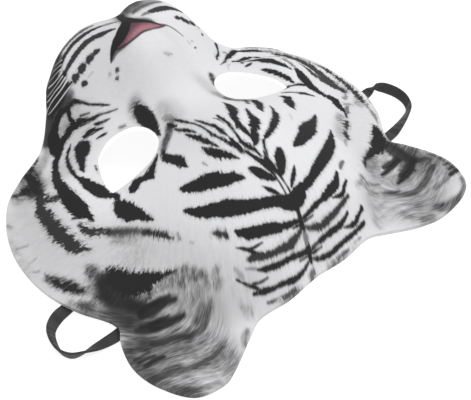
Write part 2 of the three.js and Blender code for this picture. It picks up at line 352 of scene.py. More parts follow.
# %% Stripes of the forehead: x, y and half width in millimetres
FOREHEAD_STRIPES = [
    # spine
    [(0.6, 73.4, 1.3), (0.5, 71.4, 1.9), (0.4, 69.8, 0.9)],
    [(0.3, 66.8, 0.9), (0.3, 65.2, 1.5), (0, 62.4, 1.1), (-0.3, 60, 1.7)],
    [(-5.6, 58.3, 2.2), (-2.4, 58.8, 2.8), (1.8, 58.8, 2.6), (5, 57.4, 2.2)],
    # left side, from the edge down
    [(-34.7, 73.7, 0.8), (-29.8, 74.4, 0.8), (-24.3, 75, 0.9), (-17.3, 75.4, 0.8), (-11, 75.7, 0.9),
     (-6.2, 75.1, 0.8), (-2.1, 74.2, 0.6), (0, 73.4, 0.5)],
    [(-36, 69.8, 0.9), (-33.3, 70.9, 0.8), (-29.1, 72.5, 1.0), (-26.5, 72.8, 0.8), (-21.5, 72.3, 0.3)],
    [(-29.6, 74, 0.4), (-28.8, 72.4, 0.8)],
    [(-26.3, 69.3, 0.6), (-22.9, 70.6, 0.8), (-19.4, 71.4, 1.0), (-13.2, 71.5, 0.9), (-7.6, 71.5, 0.8),
     (-3.5, 71.6, 0.6), (0, 72, 0.8)],
    [(-6.9, 72.8, 0.3), (-0.7, 72.6, 0.6)],
    [(-33.3, 60, 0.6), (-30.5, 61.5, 0.9), (-27.7, 63.6, 0.9), (-25.6, 64.2, 0.9), (-20.1, 64, 0.3)],
    [(-26.8, 65.3, 0.4), (-26, 64, 0.7)],
    [(-30.2, 56.2, 0.9), (-28.4, 57.9, 1.3), (-26.3, 59.8, 1.8), (-22.9, 60.9, 1.8), (-18, 62.3, 1.6),
     (-13.2, 63.1, 1.1), (-7.6, 63.7, 0.9), (-3.5, 64.3, 0.8), (0, 64.6, 0.8)],
    [(-6.6, 65.3, 0.3), (0, 65.3, 0.6)],
    [(-51.2, 31.3, 0.5), (-47.8, 35, 1.2), (-44.4, 38.4, 1.9), (-40.2, 41.6, 2.5), (-35.4, 44.9, 2.7),
     (-30.5, 47.8, 2.7), (-25, 50.6, 2.6), (-20.1, 52.8, 2.3), (-14.6, 55.2, 1.9), (-10.4, 56.3, 1.8),
     (-6.6, 56.9, 2), (-3.4, 57.6, 2.5), (-0.4, 58.5, 2.6)],
    [(-52.5, 19, 0.3), (-50.6, 20.5, 0.8), (-46.5, 23.8, 1.5), (-41.6, 27.3, 2.4), (-38, 29.6, 3.2),
     (-34.3, 31.7, 3.9), (-29, 35, 3.5), (-24, 38, 2.7), (-19.4, 40.2, 2.1), (-15.4, 41.5, 0.8)],
    # right side, from the edge down
    [(2.1, 73.8, 0.5), (6.3, 75, 0.7), (12.5, 75.6, 0.9), (18.7, 74.8, 0.8), (24.3, 74.1, 0.7),
     (29.1, 73, 0.9), (34, 71.7, 0.5)],
    [(29.1, 73.1, 0.6), (31.9, 70.8, 0.7), (35.2, 68.5, 0.6), (38.4, 65.2, 0.4)],
    [(25, 71.1, 0.3), (29.1, 70.6, 0.4), (32.6, 69.6, 0.5)],
    [(1, 71.6, 1.0), (6.3, 71.3, 0.8), (10.4, 70.9, 0.9), (17.3, 70.6, 0.9), (21.5, 69.8, 0.9),
     (25.7, 68.7, 0.8), (28.4, 67.5, 0.4)],
    [(1.5, 72.5, 0.5), (6.9, 72.5, 0.3)],
    [(24.3, 65.4, 0.5), (26.5, 63.4, 0.9), (27.7, 61.9, 0.8), (30.3, 59.3, 0.6), (32.2, 57.6, 0.2)],
    [(21.5, 62.8, 0.3), (25.7, 62.1, 0.6), (27.5, 61.7, 0.7)],
    [(0.7, 64.6, 0.7), (3.5, 64, 0.9), (7.6, 63.6, 1.1), (12.5, 62.3, 1.7), (17.3, 60.7, 2.0),
     (21.5, 59.1, 2.1), (25, 57.3, 2.0), (27.7, 55.1, 1.6), (28.9, 53.4, 0.7)],
    [(0.7, 65.3, 0.7), (5.6, 65.1, 0.3)],
    [(0.2, 59, 2.3), (4.4, 57.1, 2.5), (8.6, 55.2, 2), (13.5, 53.4, 2), (18.3, 51, 2.3),
     (22.5, 48.4, 2.9), (26.6, 45, 3.2), (30, 42, 2.9), (33.4, 38.9, 2.5), (36.2, 35.6, 2),
     (38.3, 32.4, 1.2), (39.5, 30.3, 0.4)],
    [(14.3, 41.7, 0.6), (17, 38.9, 1.9), (20.6, 36.2, 2.7), (23.7, 32.8, 3.3), (26.8, 29.8, 3.6),
     (30, 27.2, 2.9), (32.8, 24.6, 1.9), (34.9, 22.2, 0.6)],
]
print("forehead stripes", len(FOREHEAD_STRIPES))

# %% Stripes between the forehead and the nose
MIDDLE_STRIPES = [
    [(-0.6, 55.5, 0.6), (-0.2, 51.6, 0.6), (0.5, 47.4, 0.9), (1.2, 43.9, 1.8), (1.2, 41.5, 1.5)],
    [(1.8, 56.5, 0.5), (1.9, 53, 0.5), (2.1, 49.6, 0.6), (2.5, 46.6, 0.8)],
    [(0.1, 49.8, 0.5), (-2.2, 47.5, 2), (-4.1, 44.8, 2.7), (-5.9, 42.4, 2.3), (-7.3, 40.8, 1.0)],
    [(-2.2, 54.6, 0.5), (-4.8, 52.6, 1.1), (-7.4, 50.5, 0.9), (-9, 48.8, 0.3)],
    [(3, 49.4, 0.8), (5, 47.6, 1.6), (7, 44.9, 2.1), (9.2, 42, 1.5), (10.5, 40, 0.4)],
    [(4.3, 54.8, 0.4), (6.5, 52.6, 1.0), (8.1, 50.9, 0.9), (9.8, 48.6, 0.2)],
    [(2.7, 46.4, 0.5), (2.7, 43.4, 2), (4.3, 40.6, 1.4), (5.6, 38, 0.9), (6.8, 35.3, 0.8), (8, 32.4, 1.2),
     (9, 28.2, 1.1), (10.1, 24, 0.9), (10.8, 19.2, 0.7), (11, 15, 0.8), (10.5, 10.9, 0.5),
     (10.1, 6.7, 0.5), (10, 1.2, 0.5), (10.6, -4.4, 0.7), (11.2, -8.5, 0.8), (12, -11.7, 0.4)],
    [(7.7, 31.4, 1.0), (8.1, 26.1, 1.0), (8.1, 24, 0.3)],
    [(0.9, 41.9, 1.0), (0.2, 38.4, 0.5)],
    [(0, 41, 0.4), (-1.1, 38, 0.7), (-2.2, 35.5, 0.8), (-4, 34.1, 0.7)],
    [(2.5, 39.5, 0.6), (3.5, 35.8, 1.0), (4.7, 32.4, 1.3), (5.6, 29, 1.0), (5.2, 26.8, 0.6),
     (4.4, 22.7, 0.7), (3.3, 17.8, 0.8), (2.8, 13, 1), (1.7, 8, 0.6)],
    [(4, 15.7, 0.3), (3.7, 12.3, 0.4), (4.1, 8.1, 0.3)],
    [(11.1, 34.5, 0.3), (13.2, 30.7, 1.3), (15.2, 26.7, 1.9), (16.5, 23.3, 1.8), (17.3, 19.8, 1.4),
     (17.3, 15.8, 0.3)],
    [(7.9, 23.8, 0.3), (7.8, 19.2, 0.9), (7.6, 13.6, 0.9), (7.9, 8.8, 0.8), (8.2, 3.2, 0.6),
     (8.3, -0.9, 0.2)],
    [(13.5, 23.6, 0.3), (14.1, 19.9, 0.8), (14.7, 15, 1.2), (14.7, 10.9, 1.3), (15.2, 6.7, 1.1),
     (15.4, 1.4, 0.4)],
    [(13.2, 7, 0.3), (13.5, 1.9, 0.8), (14.4, -3, 1), (15, -7.4, 0.5)],
    [(14, -8.2, 0.8), (14.6, -11.4, 1.2), (15, -14, 0.4)],
    # left of the middle
    [(-5, 33.7, 1), (-10.4, 31.5, 1.5), (-14.6, 28.5, 1.8), (-18.5, 25.2, 2), (-22.5, 21.4, 1.8),
     (-25.3, 17.6, 1.3), (-27.5, 13.6, 0.8), (-29, 10, 0.3)],
    [(1.6, 34, 1), (-0.7, 31.2, 2.4), (-2.8, 28.2, 1.6), (-4.8, 26.1, 2.4), (-7.2, 23.8, 2.7),
     (-8.5, 20.6, 1.9), (-9.8, 16.6, 1.2), (-11.5, 13.5, 0.9), (-13.2, 11, 0.4)],
    [(-5.2, 28.8, 0.8), (-4.8, 26.6, 1.3)],
    [(0.8, 30.5, 1.2), (0.6, 26.4, 1.2), (0.7, 22.7, 1.7), (-0.8, 18.5, 1.5), (-2.3, 15, 1.9),
     (-4.7, 11.6, 2.3), (-7, 7.4, 2.3), (-9.2, 2.6, 1.5), (-10.5, -2.5, 0.6)],
    [(-19.2, 16, 0.5), (-21.3, 11.6, 1.8), (-24, 8.2, 2.1), (-26.8, 3.9, 2.2), (-28.1, 0.3, 1.7),
     (-28.6, -2.4, 0.5)],
    # brows
    [(-41, 15.4, 0.5), (-41.9, 11.6, 2), (-43.8, 8.6, 2.9), (-46.3, 5.4, 1.9), (-48.8, 3.6, 1.1)],
    [(-40.6, 8.6, 0.9), (-44, 7.2, 1.6), (-46.2, 3.2, 1.8), (-44, 1.2, 0.6)],
    [(26.7, 17.6, 0.4), (27.2, 13.6, 1.7), (26.5, 10.9, 2.4), (27.4, 6.7, 2.4), (28.1, 2.6, 2.2),
     (27.4, -0.2, 1.6), (25.6, -2.4, 0.8)],
    [(28.2, -4.3, 0.4), (31.7, -1.2, 1.2), (35.2, 1, 2), (38.1, 2.8, 2.6), (40.9, 1.9, 2),
     (43.7, 0.8, 2.6), (46.2, 1.7, 2.5), (47.8, 1, 1.4)],
    [(38.4, 6.9, 0.4), (38, 4, 2)],
]
print("middle stripes", len(MIDDLE_STRIPES))

# %% Stripes of the cheeks and round the eyes
CHEEK_STRIPES = [
    # right, from the eye outwards
    [(50, 21, 0.5), (51.5, 17.2, 1.6), (53, 13.3, 2.6), (54.8, 9.5, 3.8), (56.1, 5.6, 3.9),
     (56.2, 2.2, 2.5), (56.4, 0.4, 0.9)],
    [(54.6, -0.2, 1.3), (54.8, -2.8, 1.9), (56.6, -4.8, 1.9), (58.8, -9.6, 3.4), (60.1, -14.9, 2.9),
     (61.1, -20, 2), (61.8, -24.5, 1.0), (60.8, -29.6, 1.2), (59.2, -35.4, 1.2), (57, -41.2, 1.0),
     (54.5, -46.3, 0.9), (51.5, -48.7, 0.8), (49.8, -49.6, 0.4)],
    [(68.8, -0.4, 0.5), (69.5, -5.6, 2.5), (70.8, -11, 3.7), (70.9, -16.2, 3.5), (70.5, -21.3, 3),
     (69.8, -26.4, 2.5), (68.6, -31.5, 2.5), (66.4, -36.7, 2.3), (64.2, -41.8, 2.0), (62, -46.3, 2.0),
     (59.8, -49.4, 1.8), (57, -51, 1.6)],
    [(72.5, -6.5, 0.9), (75, -9, 0.4)],
    [(57.4, -24.5, 0.5), (56.2, -28, 1.4), (54.4, -31.5, 1.9), (52, -35.5, 2.7), (49.2, -39, 4.1),
     (47.5, -42.1, 4.1), (48.4, -45, 1.9)],
    [(52.9, -19, 0.2), (51.8, -22, 0.5), (51, -24.2, 0.6)],
    [(36.2, -36.3, 0.6), (38.4, -37.2, 0.9), (40.4, -38.1, 0.5)],
    [(25.9, -40, 0.3), (29.3, -43.3, 0.5), (32.7, -46.7, 0.7), (36, -48.2, 0.9), (39, -50.4, 1.2),
     (42, -52.6, 1.5), (46, -53.9, 1.6), (50, -54, 1.7), (54, -53.5, 2.3), (57, -51.4, 2.1)],
    [(31, -40.4, 0.4), (33.6, -42.2, 0.8), (35.8, -44.8, 0.9), (36.8, -46, 0.4)],
    [(35.6, -39.8, 0.6), (37.6, -42.2, 1.1), (40, -44.6, 1.7), (43.2, -46.1, 1.3)],
    [(27, -45, 0.3), (28.7, -47.5, 0.5), (30.7, -50, 0.5), (33.3, -52.7, 0.5), (36, -56, 0.6),
     (38.7, -58.7, 1.1), (42.7, -59.8, 1.1), (46, -61.5, 1.6), (50, -61, 2.0), (54, -59, 3.2),
     (55.6, -55, 3.6)],
    [(35.5, -51, 0.3), (39.5, -53.5, 0.5)],
    [(43.2, -53.4, 1.0), (43.8, -55.8, 1.2), (43.2, -58.2, 1.3), (42.4, -60, 1)],
    [(20.4, -12.6, 0.6), (19.8, -16, 1.5), (19.1, -20.5, 2.7), (19.2, -25, 3.7), (19.5, -28.6, 3.3),
     (19.7, -31, 2.2)],
    # left, from the eye outwards
    [(-64.6, 5.8, 0.4), (-60.4, 3.4, 1.0), (-56.6, 1.8, 0.8), (-52.7, -0.3, 0.5), (-48, -1.5, 0.4)],
    [(-66, -1.6, 1.4), (-62, -3.2, 0.9), (-59, -3.7, 0.7), (-54.6, -4.4, 0.8), (-51, -3.4, 0.3)],
    [(-73.4, 21.9, 0.9), (-75.3, 19.1, 1.3), (-75.1, 15.3, 2.3), (-75.8, 11.4, 2.9), (-75.9, 9.4, 2.7),
     (-72, 6, 1.6), (-69.7, 2.4, 2.4), (-68, -1.4, 3.2), (-68.2, -5.3, 3.4), (-68.8, -9.1, 2.7),
     (-69.1, -13, 1.3)],
    [(-59.8, -5.6, 0.9), (-59.1, -9.7, 1.9), (-57.8, -14.2, 1.8), (-55.9, -19.4, 1.8),
     (-54.1, -23.8, 0.8)],
    [(-65.6, -13.6, 0.5), (-64.5, -17.4, 1.4), (-62.9, -23.2, 2.1), (-61.6, -29, 2.8),
     (-61.2, -34.1, 2.8), (-59.6, -38.5, 2.2), (-57.2, -43, 1.6), (-54.3, -46.4, 1.2), (-51.6, -45, 0.4)],
    [(-67.5, -48.6, 1.2), (-64, -48, 2.1), (-60, -47, 1.7), (-57, -46.4, 0.8)],
    [(-79.5, -51.5, 0.7), (-74.5, -53.4, 1.0), (-69.5, -54.9, 1.0), (-65, -56, 0.8), (-62, -56.2, 1.6),
     (-59.8, -54.6, 1.5), (-57.2, -53, 1.3), (-53.2, -50.8, 1.1), (-49.8, -48.2, 0.8),
     (-46.4, -45.2, 0.7), (-42.5, -42.2, 0.4), (-39, -39.6, 0.2)],
    [(-55.5, -34, 0.9), (-52.7, -33.3, 1.4), (-50.4, -32.3, 0.7)],
    [(-53.3, -38.4, 0.9), (-54.6, -40.6, 0.9)],
    [(-42.2, -46.8, 0.4), (-44.4, -49.4, 0.8), (-47, -51.5, 0.8), (-49, -54, 0.6), (-50.5, -57, 0.9),
     (-52, -59.5, 0.9)],
]
print("cheek stripes", len(CHEEK_STRIPES))

# %% Stripes of the outer cheeks, temples and muzzle
OUTER_STRIPES = [
    [(51, 29.6, 1.1), (52.6, 26.2, 1.4), (54.2, 23.2, 1)],
    [(66.4, 8.2, 0.8), (69.2, 5.4, 1.5), (71.8, 2.4, 2), (73.6, -0.8, 1.7), (74.4, -3.9, 0.7)],
    [(76.8, 7.4, 0.5), (78.9, 4.6, 1.6), (81, 0.6, 2.7), (81.6, -3.3, 2.9), (82.4, -7.8, 3.3),
     (82.8, -12.3, 3.4), (82.8, -16.8, 3.1), (82.4, -21.3, 2.8), (81.6, -25.8, 2.8), (80.7, -29.6, 2.9),
     (79.1, -32.8, 2.5), (77, -36.7, 2), (75.6, -40.5, 2), (74.8, -45, 2.6), (74.2, -50, 3),
     (73.4, -54.4, 2.4)],
    [(73.4, -20.4, 0.7), (75.4, -24.6, 1.5), (77.4, -29, 2)],
    [(75, -47, 2.0), (78, -48.8, 2), (81.5, -50, 1.3), (85, -51.5, 0.6)],
    [(64.6, -59, 0.8), (69, -57, 1.1), (73, -55.2, 1.3)],
    [(90.2, 18.6, 0.8), (92, 15.1, 2.2), (93.8, 11.3, 2.5), (95.5, 8.2, 1.9), (96.6, 5, 1),
     (97.4, 2, 0.5)],
    [(-90.4, 5, 1.4), (-90, 1.2, 2.8), (-88, -3.2, 4.4), (-85.4, -7, 4.8), (-82, -8.8, 2.4)],
    [(-89.6, -6, 4), (-90, -12, 4.6), (-91.6, -20, 3.8), (-92.4, -27.7, 3.4), (-91.8, -34.1, 3),
     (-89.2, -41.8, 2.5), (-85, -46.6, 1.8)],
    [(-80.6, -10, 2.6), (-82, -16, 2.8), (-81.8, -24, 2.9), (-79.8, -31, 2.9), (-76.6, -37.5, 2.6),
     (-72.8, -43, 2.3), (-70, -46.4, 1.3)],
    [(-72.4, -24, 0.6), (-71.8, -30, 1.5), (-69.6, -36, 1.8), (-66.4, -41.5, 1.5), (-63.6, -45.6, 0.8)],
    [(-94.6, 15, 1.6), (-96.2, 10.1, 2), (-97.8, 3.1, 2), (-99, -4.6, 1.9), (-100.2, -13.6, 1.4),
     (-100, -21.3, 0.9), (-98.2, -28, 0.5)],
    [(49, 34.2, 0.5), (50.2, 31.4, 1.1), (51, 28.9, 0.9)],
    [(32.8, 52, 1), (34, 49.8, 1.5), (36.3, 47.2, 1)],
    [(-58.8, 36.8, 1.1), (-60.4, 34.1, 1.5), (-62.6, 31.6, 1.1)],
    [(-65.4, 29.5, 1.1), (-67.5, 27.6, 1.5), (-70.6, 25.1, 1.2)],
]
MUZZLE_STRIPES = [
    [(8.5, -61.6, 0.5), (10.4, -63.8, 0.9), (12.7, -65.5, 1.3), (15.7, -67.7, 1.3), (20, -69.6, 1.4),
     (25.3, -69.9, 1.3), (30.7, -69.3, 1.2), (36.4, -68.3, 0.8)],
    [(10, -69.6, 0.5), (13, -71.6, 0.7), (16, -73, 1.0), (20.7, -74.3, 1.2), (25.3, -74.7, 1.2),
     (30, -74.2, 1.1), (35.3, -72.9, 1)],
    [(-37.5, -69.2, 0.6), (-30, -70, 1.3), (-24.5, -69.4, 1.6), (-19, -67.7, 1.4), (-14.6, -65.6, 1.1),
     (-12, -64, 0.6)],
    [(18.8, -62.2, 0.8), (20.4, -63.2, 1.2)],
    [(22.8, -63.3, 1.4), (24.2, -63.7, 1.7)],
    [(28, -63.7, 1.6), (29.2, -63.8, 1.7)],
    [(32.5, -63.4, 1.5), (33.7, -63.6, 1.6)],
    [(35.8, -63.6, 0.8), (37.2, -63.8, 0.6)],
    [(30.4, -59, 0.9), (31.8, -59.7, 1)],
    [(17.2, -48.9, 0.6), (17.7, -49.8, 0.7)],
    [(18.9, -47.5, 0.6), (19.5, -48.4, 0.6)],
    [(-41.2, -64.4, 1), (-39.2, -64.3, 1)],
    [(-36.8, -64, 1.2), (-33.8, -64.8, 1.2)],
    [(-31.8, -65, 1.1), (-29.8, -64.7, 0.8)],
    [(-44, -60.8, 0.5), (-43.2, -60.1, 0.5)],
    [(-32.8, -52.3, 0.3), (-31.4, -51.6, 0.3)],
]
print("outer stripes", len(OUTER_STRIPES), "muzzle stripes", len(MUZZLE_STRIPES))

# %% Grey stripes and spots, and painted shade along the left rim: ink first, then the points
GREY_MARKS_AND_RIM_SHADE = [
    (0.85, [(-30, 76.8, 0.4), (-22.2, 77.8, 0.6), (-13.2, 78.2, 0.9), (-7.6, 77.6, 0.8)]),
    (0.9, [(9.7, 77.9, 0.6), (14.6, 78.2, 0.9), (19.4, 78, 0.9), (24.3, 77.2, 0.7), (29.1, 76, 0.4)]),
    (0.8, [(0.8, 76.6, 1.1), (3.2, 77.3, 1.2)]),
    (0.75, [(0.6, 70.9, 1.2), (0.4, 69, 1.9)]),
    (0.97, [(-30.2, 65.1, 0.7), (-26.3, 66.1, 0.9), (-21.5, 67.4, 1), (-15.9, 68.3, 1.1),
            (-10.4, 68.8, 1.2), (-6.2, 68.2, 1), (-2.1, 67.2, 0.8), (0.2, 66.1, 0.8)]),
    (0.97, [(1.7, 66.6, 0.8), (4.9, 67.5, 1), (10.4, 68.2, 1.3), (14.6, 67.8, 1.1), (20.1, 67, 1),
            (24.3, 65.7, 1.2), (27.7, 64.3, 1.2), (30.2, 63.4, 0.7)]),
    (0.6, [(28.4, 67.3, 0.5), (32.8, 64.9, 0.3)]),
    (0.8, [(-39.4, 51.6, 0.6), (-36.2, 53, 1), (-33.8, 54.8, 0.7)]),
    (0.4, [(35.8, 66, 1.2), (36.8, 62.4, 0.7)]),
    (0.3, [(44.3, 43, 0.5), (45.2, 41.6, 0.5)]),
    # Painted shade: two thin dark lines along the left temple's rim, where the edge turns down
    (0.65, [(-89.6, 30.6, 0.4), (-92, 26.4, 0.9), (-93.4, 21.6, 0.8), (-94.2, 17, 0.6)]),
    (0.6, [(-93, 31.6, 0.4), (-96.4, 26, 0.7), (-99, 19, 0.7), (-100.6, 12, 0.6)]),
    (0.4, [(-29.5, 25.4, 0.2), (-31.6, 22.4, 0.3), (-32.8, 19.8, 0.2)]),
    (0.6, [(21.7, 25.3, 0.2), (22, 22.4, 0.4)]),
    (0.85, [(-22, 2.4, 0.8), (-24.2, -1.4, 1.1), (-26, -4.6, 0.8)]),
    (0.6, [(47.4, 37, 0.8), (46.6, 34.6, 0.6)]),
    (0.45, [(-51.2, 42.4, 0.6), (-54.6, 38.6, 1), (-58, 37, 0.8)]),
    (0.7, [(-69.2, -13, 1.1), (-69.5, -18.7, 1.2), (-69, -23.4, 0.9)]),
    (0.75, [(-80, 16.2, 1.1), (-77.4, 18, 1.4), (-74.6, 20.4, 1)]),
    (0.5, [(-85.4, 14.4, 1), (-80.6, 13.6, 1.5)]),
    (0.6, [(-90.4, 5, 1), (-88, 7.6, 1.1), (-84.4, 9.4, 1)]),
    (0.65, [(-97.5, -30, 0.6), (-94.5, -38, 0.9), (-90.5, -44.5, 1), (-85, -49, 1), (-79.5, -51.5, 0.8)]),
    # Painted shade: a thin dark line along the left cheek's lower rim
    (0.6, [(-92, -47.6, 0.5), (-86, -52, 0.8), (-78, -55, 0.8), (-70, -58, 0.6)]),
    (0.7, [(28.2, -31.3, 0.8), (30.3, -32.6, 0.7)]),
    (0.35, [(-40, -34, 0.3), (-43.3, -38.7, 0.4), (-47, -41, 0.5)]),
    (0.55, [(-55, -54.6, 0.7), (-52.4, -53.9, 0.7)]),
    (0.5, [(-6.6, -36.8, 0.3), (-4, -37.1, 0.6), (-2.8, -37.6, 0.4)]),
    (0.35, [(95.8, -12.3, 0.4), (99.6, -12.6, 0.5)]),
    (0.35, [(95.1, -21.3, 0.5), (99.6, -24.3, 0.6)]),
    (0.45, [(95.2, -37, 0.7), (95.8, -39.5, 0.9)]),
    (0.3, [(99, -6, 0.8), (100.4, -7, 0.8)]),
    (0.5, [(97.6, -0.6, 0.6), (97.3, -2.4, 0.4)]),
    (0.7, [(-28, -74.6, 0.7), (-20, -73.1, 1), (-13, -70.4, 1.1), (-6, -66.2, 0.9), (-4, -64, 0.4)]),
    (0.75, [(-15, -65.8, 1.1), (-11.6, -63.6, 1.1), (-8.5, -61.4, 0.9), (-6.5, -60, 0.5)]),
    (0.4, [(-29.6, -53.5, 0.5), (-28.9, -54.2, 0.4)]),
    (0.4, [(-33.4, -55.3, 0.3), (-31.6, -54.8, 0.3)]),
    (0.4, [(-44.6, -64.4, 0.6), (-43.2, -63.4, 0.6)]),
    (0.35, [(25.6, -59.3, 0.3), (28.4, -59.6, 0.3)]),
    (0.5, [(20.1, -51.6, 0.4), (20.8, -52.4, 0.4)]),
    (0.7, [(4.2, -64.4, 0.4), (7, -67.2, 0.7), (10, -69.6, 0.7)]),
    (0.85, [(13, -75, 0.5), (17, -77, 1.1), (22, -78.2, 1.3), (30, -78.2, 1.3), (36, -77, 1.4)]),
]
print("grey marks", len(GREY_MARKS_AND_RIM_SHADE))

# %% Ears, nose and whiskers: ink first again
EAR_MARKS = [
    (1.0, [(55.8, 44.4, 0.4), (59.5, 42, 1.3), (64, 38.8, 2.9), (69, 35.4, 4.6), (73.2, 32, 5.4),
           (75.2, 27, 4.6), (76.2, 22, 2.4)]),
    (1.0, [(-53.6, 54.2, 0.7), (-56, 51.8, 1.1), (-59.5, 49.6, 1.2), (-64.3, 47.7, 1.9),
           (-70.7, 45.3, 2.7), (-76.4, 42.6, 4.0), (-81.4, 39.8, 4.4), (-83.6, 36, 3.6),
           (-86, 31.6, 1.8)]),
]
NOSE_LINES = [
    (0.7, [(-27.7, -56.3, 0.4), (-24.3, -58.2, 0.6), (-20.6, -58.7, 0.6), (-17.2, -57, 0.5)]),
    (0.6, [(-17.2, -57, 0.5), (-13.6, -53.8, 0.4), (-10, -51, 0.4), (-7, -49.7, 0.4), (-4, -49.3, 0.4)]),
    (0.8, [(-4, -49.3, 0.4), (0, -49.8, 0.5), (5, -49.5, 0.5), (8.7, -50.3, 0.5), (11.5, -51.7, 0.6),
           (14, -53.3, 0.8), (17, -53.6, 0.5)]),
    (1.0, [(3, -60.4, 2.2), (4.6, -58.4, 2.8), (6.8, -56.9, 3.2), (9.4, -55.9, 3), (12, -56, 2.3),
           (15, -55.4, 1.5), (17.6, -53.9, 0.5)]),
    (0.95, [(-15, -54.9, 0.4), (-12, -53.9, 0.6), (-9, -53.7, 0.8), (-6, -54.3, 1.0), (-3.3, -55.7, 1.3),
            (-1, -57.8, 1.7), (0.8, -60.4, 2.3), (1.6, -63, 2.3), (1.4, -66, 1.9), (0, -70, 2)]),
]
# The pink of the nose has no ink, only its shape
NOSE_PINK = [
    [(-18.2, -57.9, 0.4), (-14.4, -55, 0.9), (-11, -52.9, 1.4), (-8, -52.2, 2.2), (-4.5, -52.4, 2.9),
     (-1, -53.4, 3.7), (2, -53.8, 4.1), (5, -53.4, 3.9), (8, -53.2, 3), (11, -53.9, 2.1), (13, -54.3, 1)],
]
# Light whiskers over the dark side: how light, and the points from the root outwards
WHISKERS = [
    (0.65, [(35.4, -63.2, 0.2), (40, -63.7, 0.25), (43.5, -64.3, 0.25), (46.5, -65.4, 0.25),
            (48.6, -67, 0.25), (49.6, -69, 0.1)]),
    (0.75, [(36.8, -65.7, 0.3), (41, -66, 0.25), (43.5, -66.9, 0.25), (45.6, -68.3, 0.25),
            (47.2, -70.2, 0.25), (48.6, -71.6, 0.2)]),
    (0.7, [(36.8, -67.1, 0.3), (40.5, -67.4, 0.25), (43, -68.7, 0.25), (44.8, -70.5, 0.25),
           (45.8, -72.6, 0.25), (46.4, -74.4, 0.2)]),
    (0.6, [(37.4, -68.5, 0.3), (41, -69.3, 0.2), (43, -71, 0.2), (44.2, -73.3, 0.2), (45, -75.8, 0.15)]),
    (0.7, [(36.8, -69.8, 0.3), (39.5, -70.5, 0.25), (41.2, -72, 0.25), (42.1, -74, 0.25),
           (42.5, -77.5, 0.2)]),
    (0.55, [(36.4, -71.4, 0.3), (38.5, -73, 0.2), (40, -75, 0.2), (40.8, -78.5, 0.15)]),
    (0.5, [(35, -72.6, 0.3), (37, -74.3, 0.2), (38.3, -76.4, 0.2), (39, -79, 0.15)]),
    (0.45, [(33.6, -73.8, 0.3), (35.6, -75.6, 0.2), (36.8, -78.5, 0.15)]),
]
print("ear marks", len(EAR_MARKS), "nose lines", len(NOSE_LINES), "whiskers", len(WHISKERS))
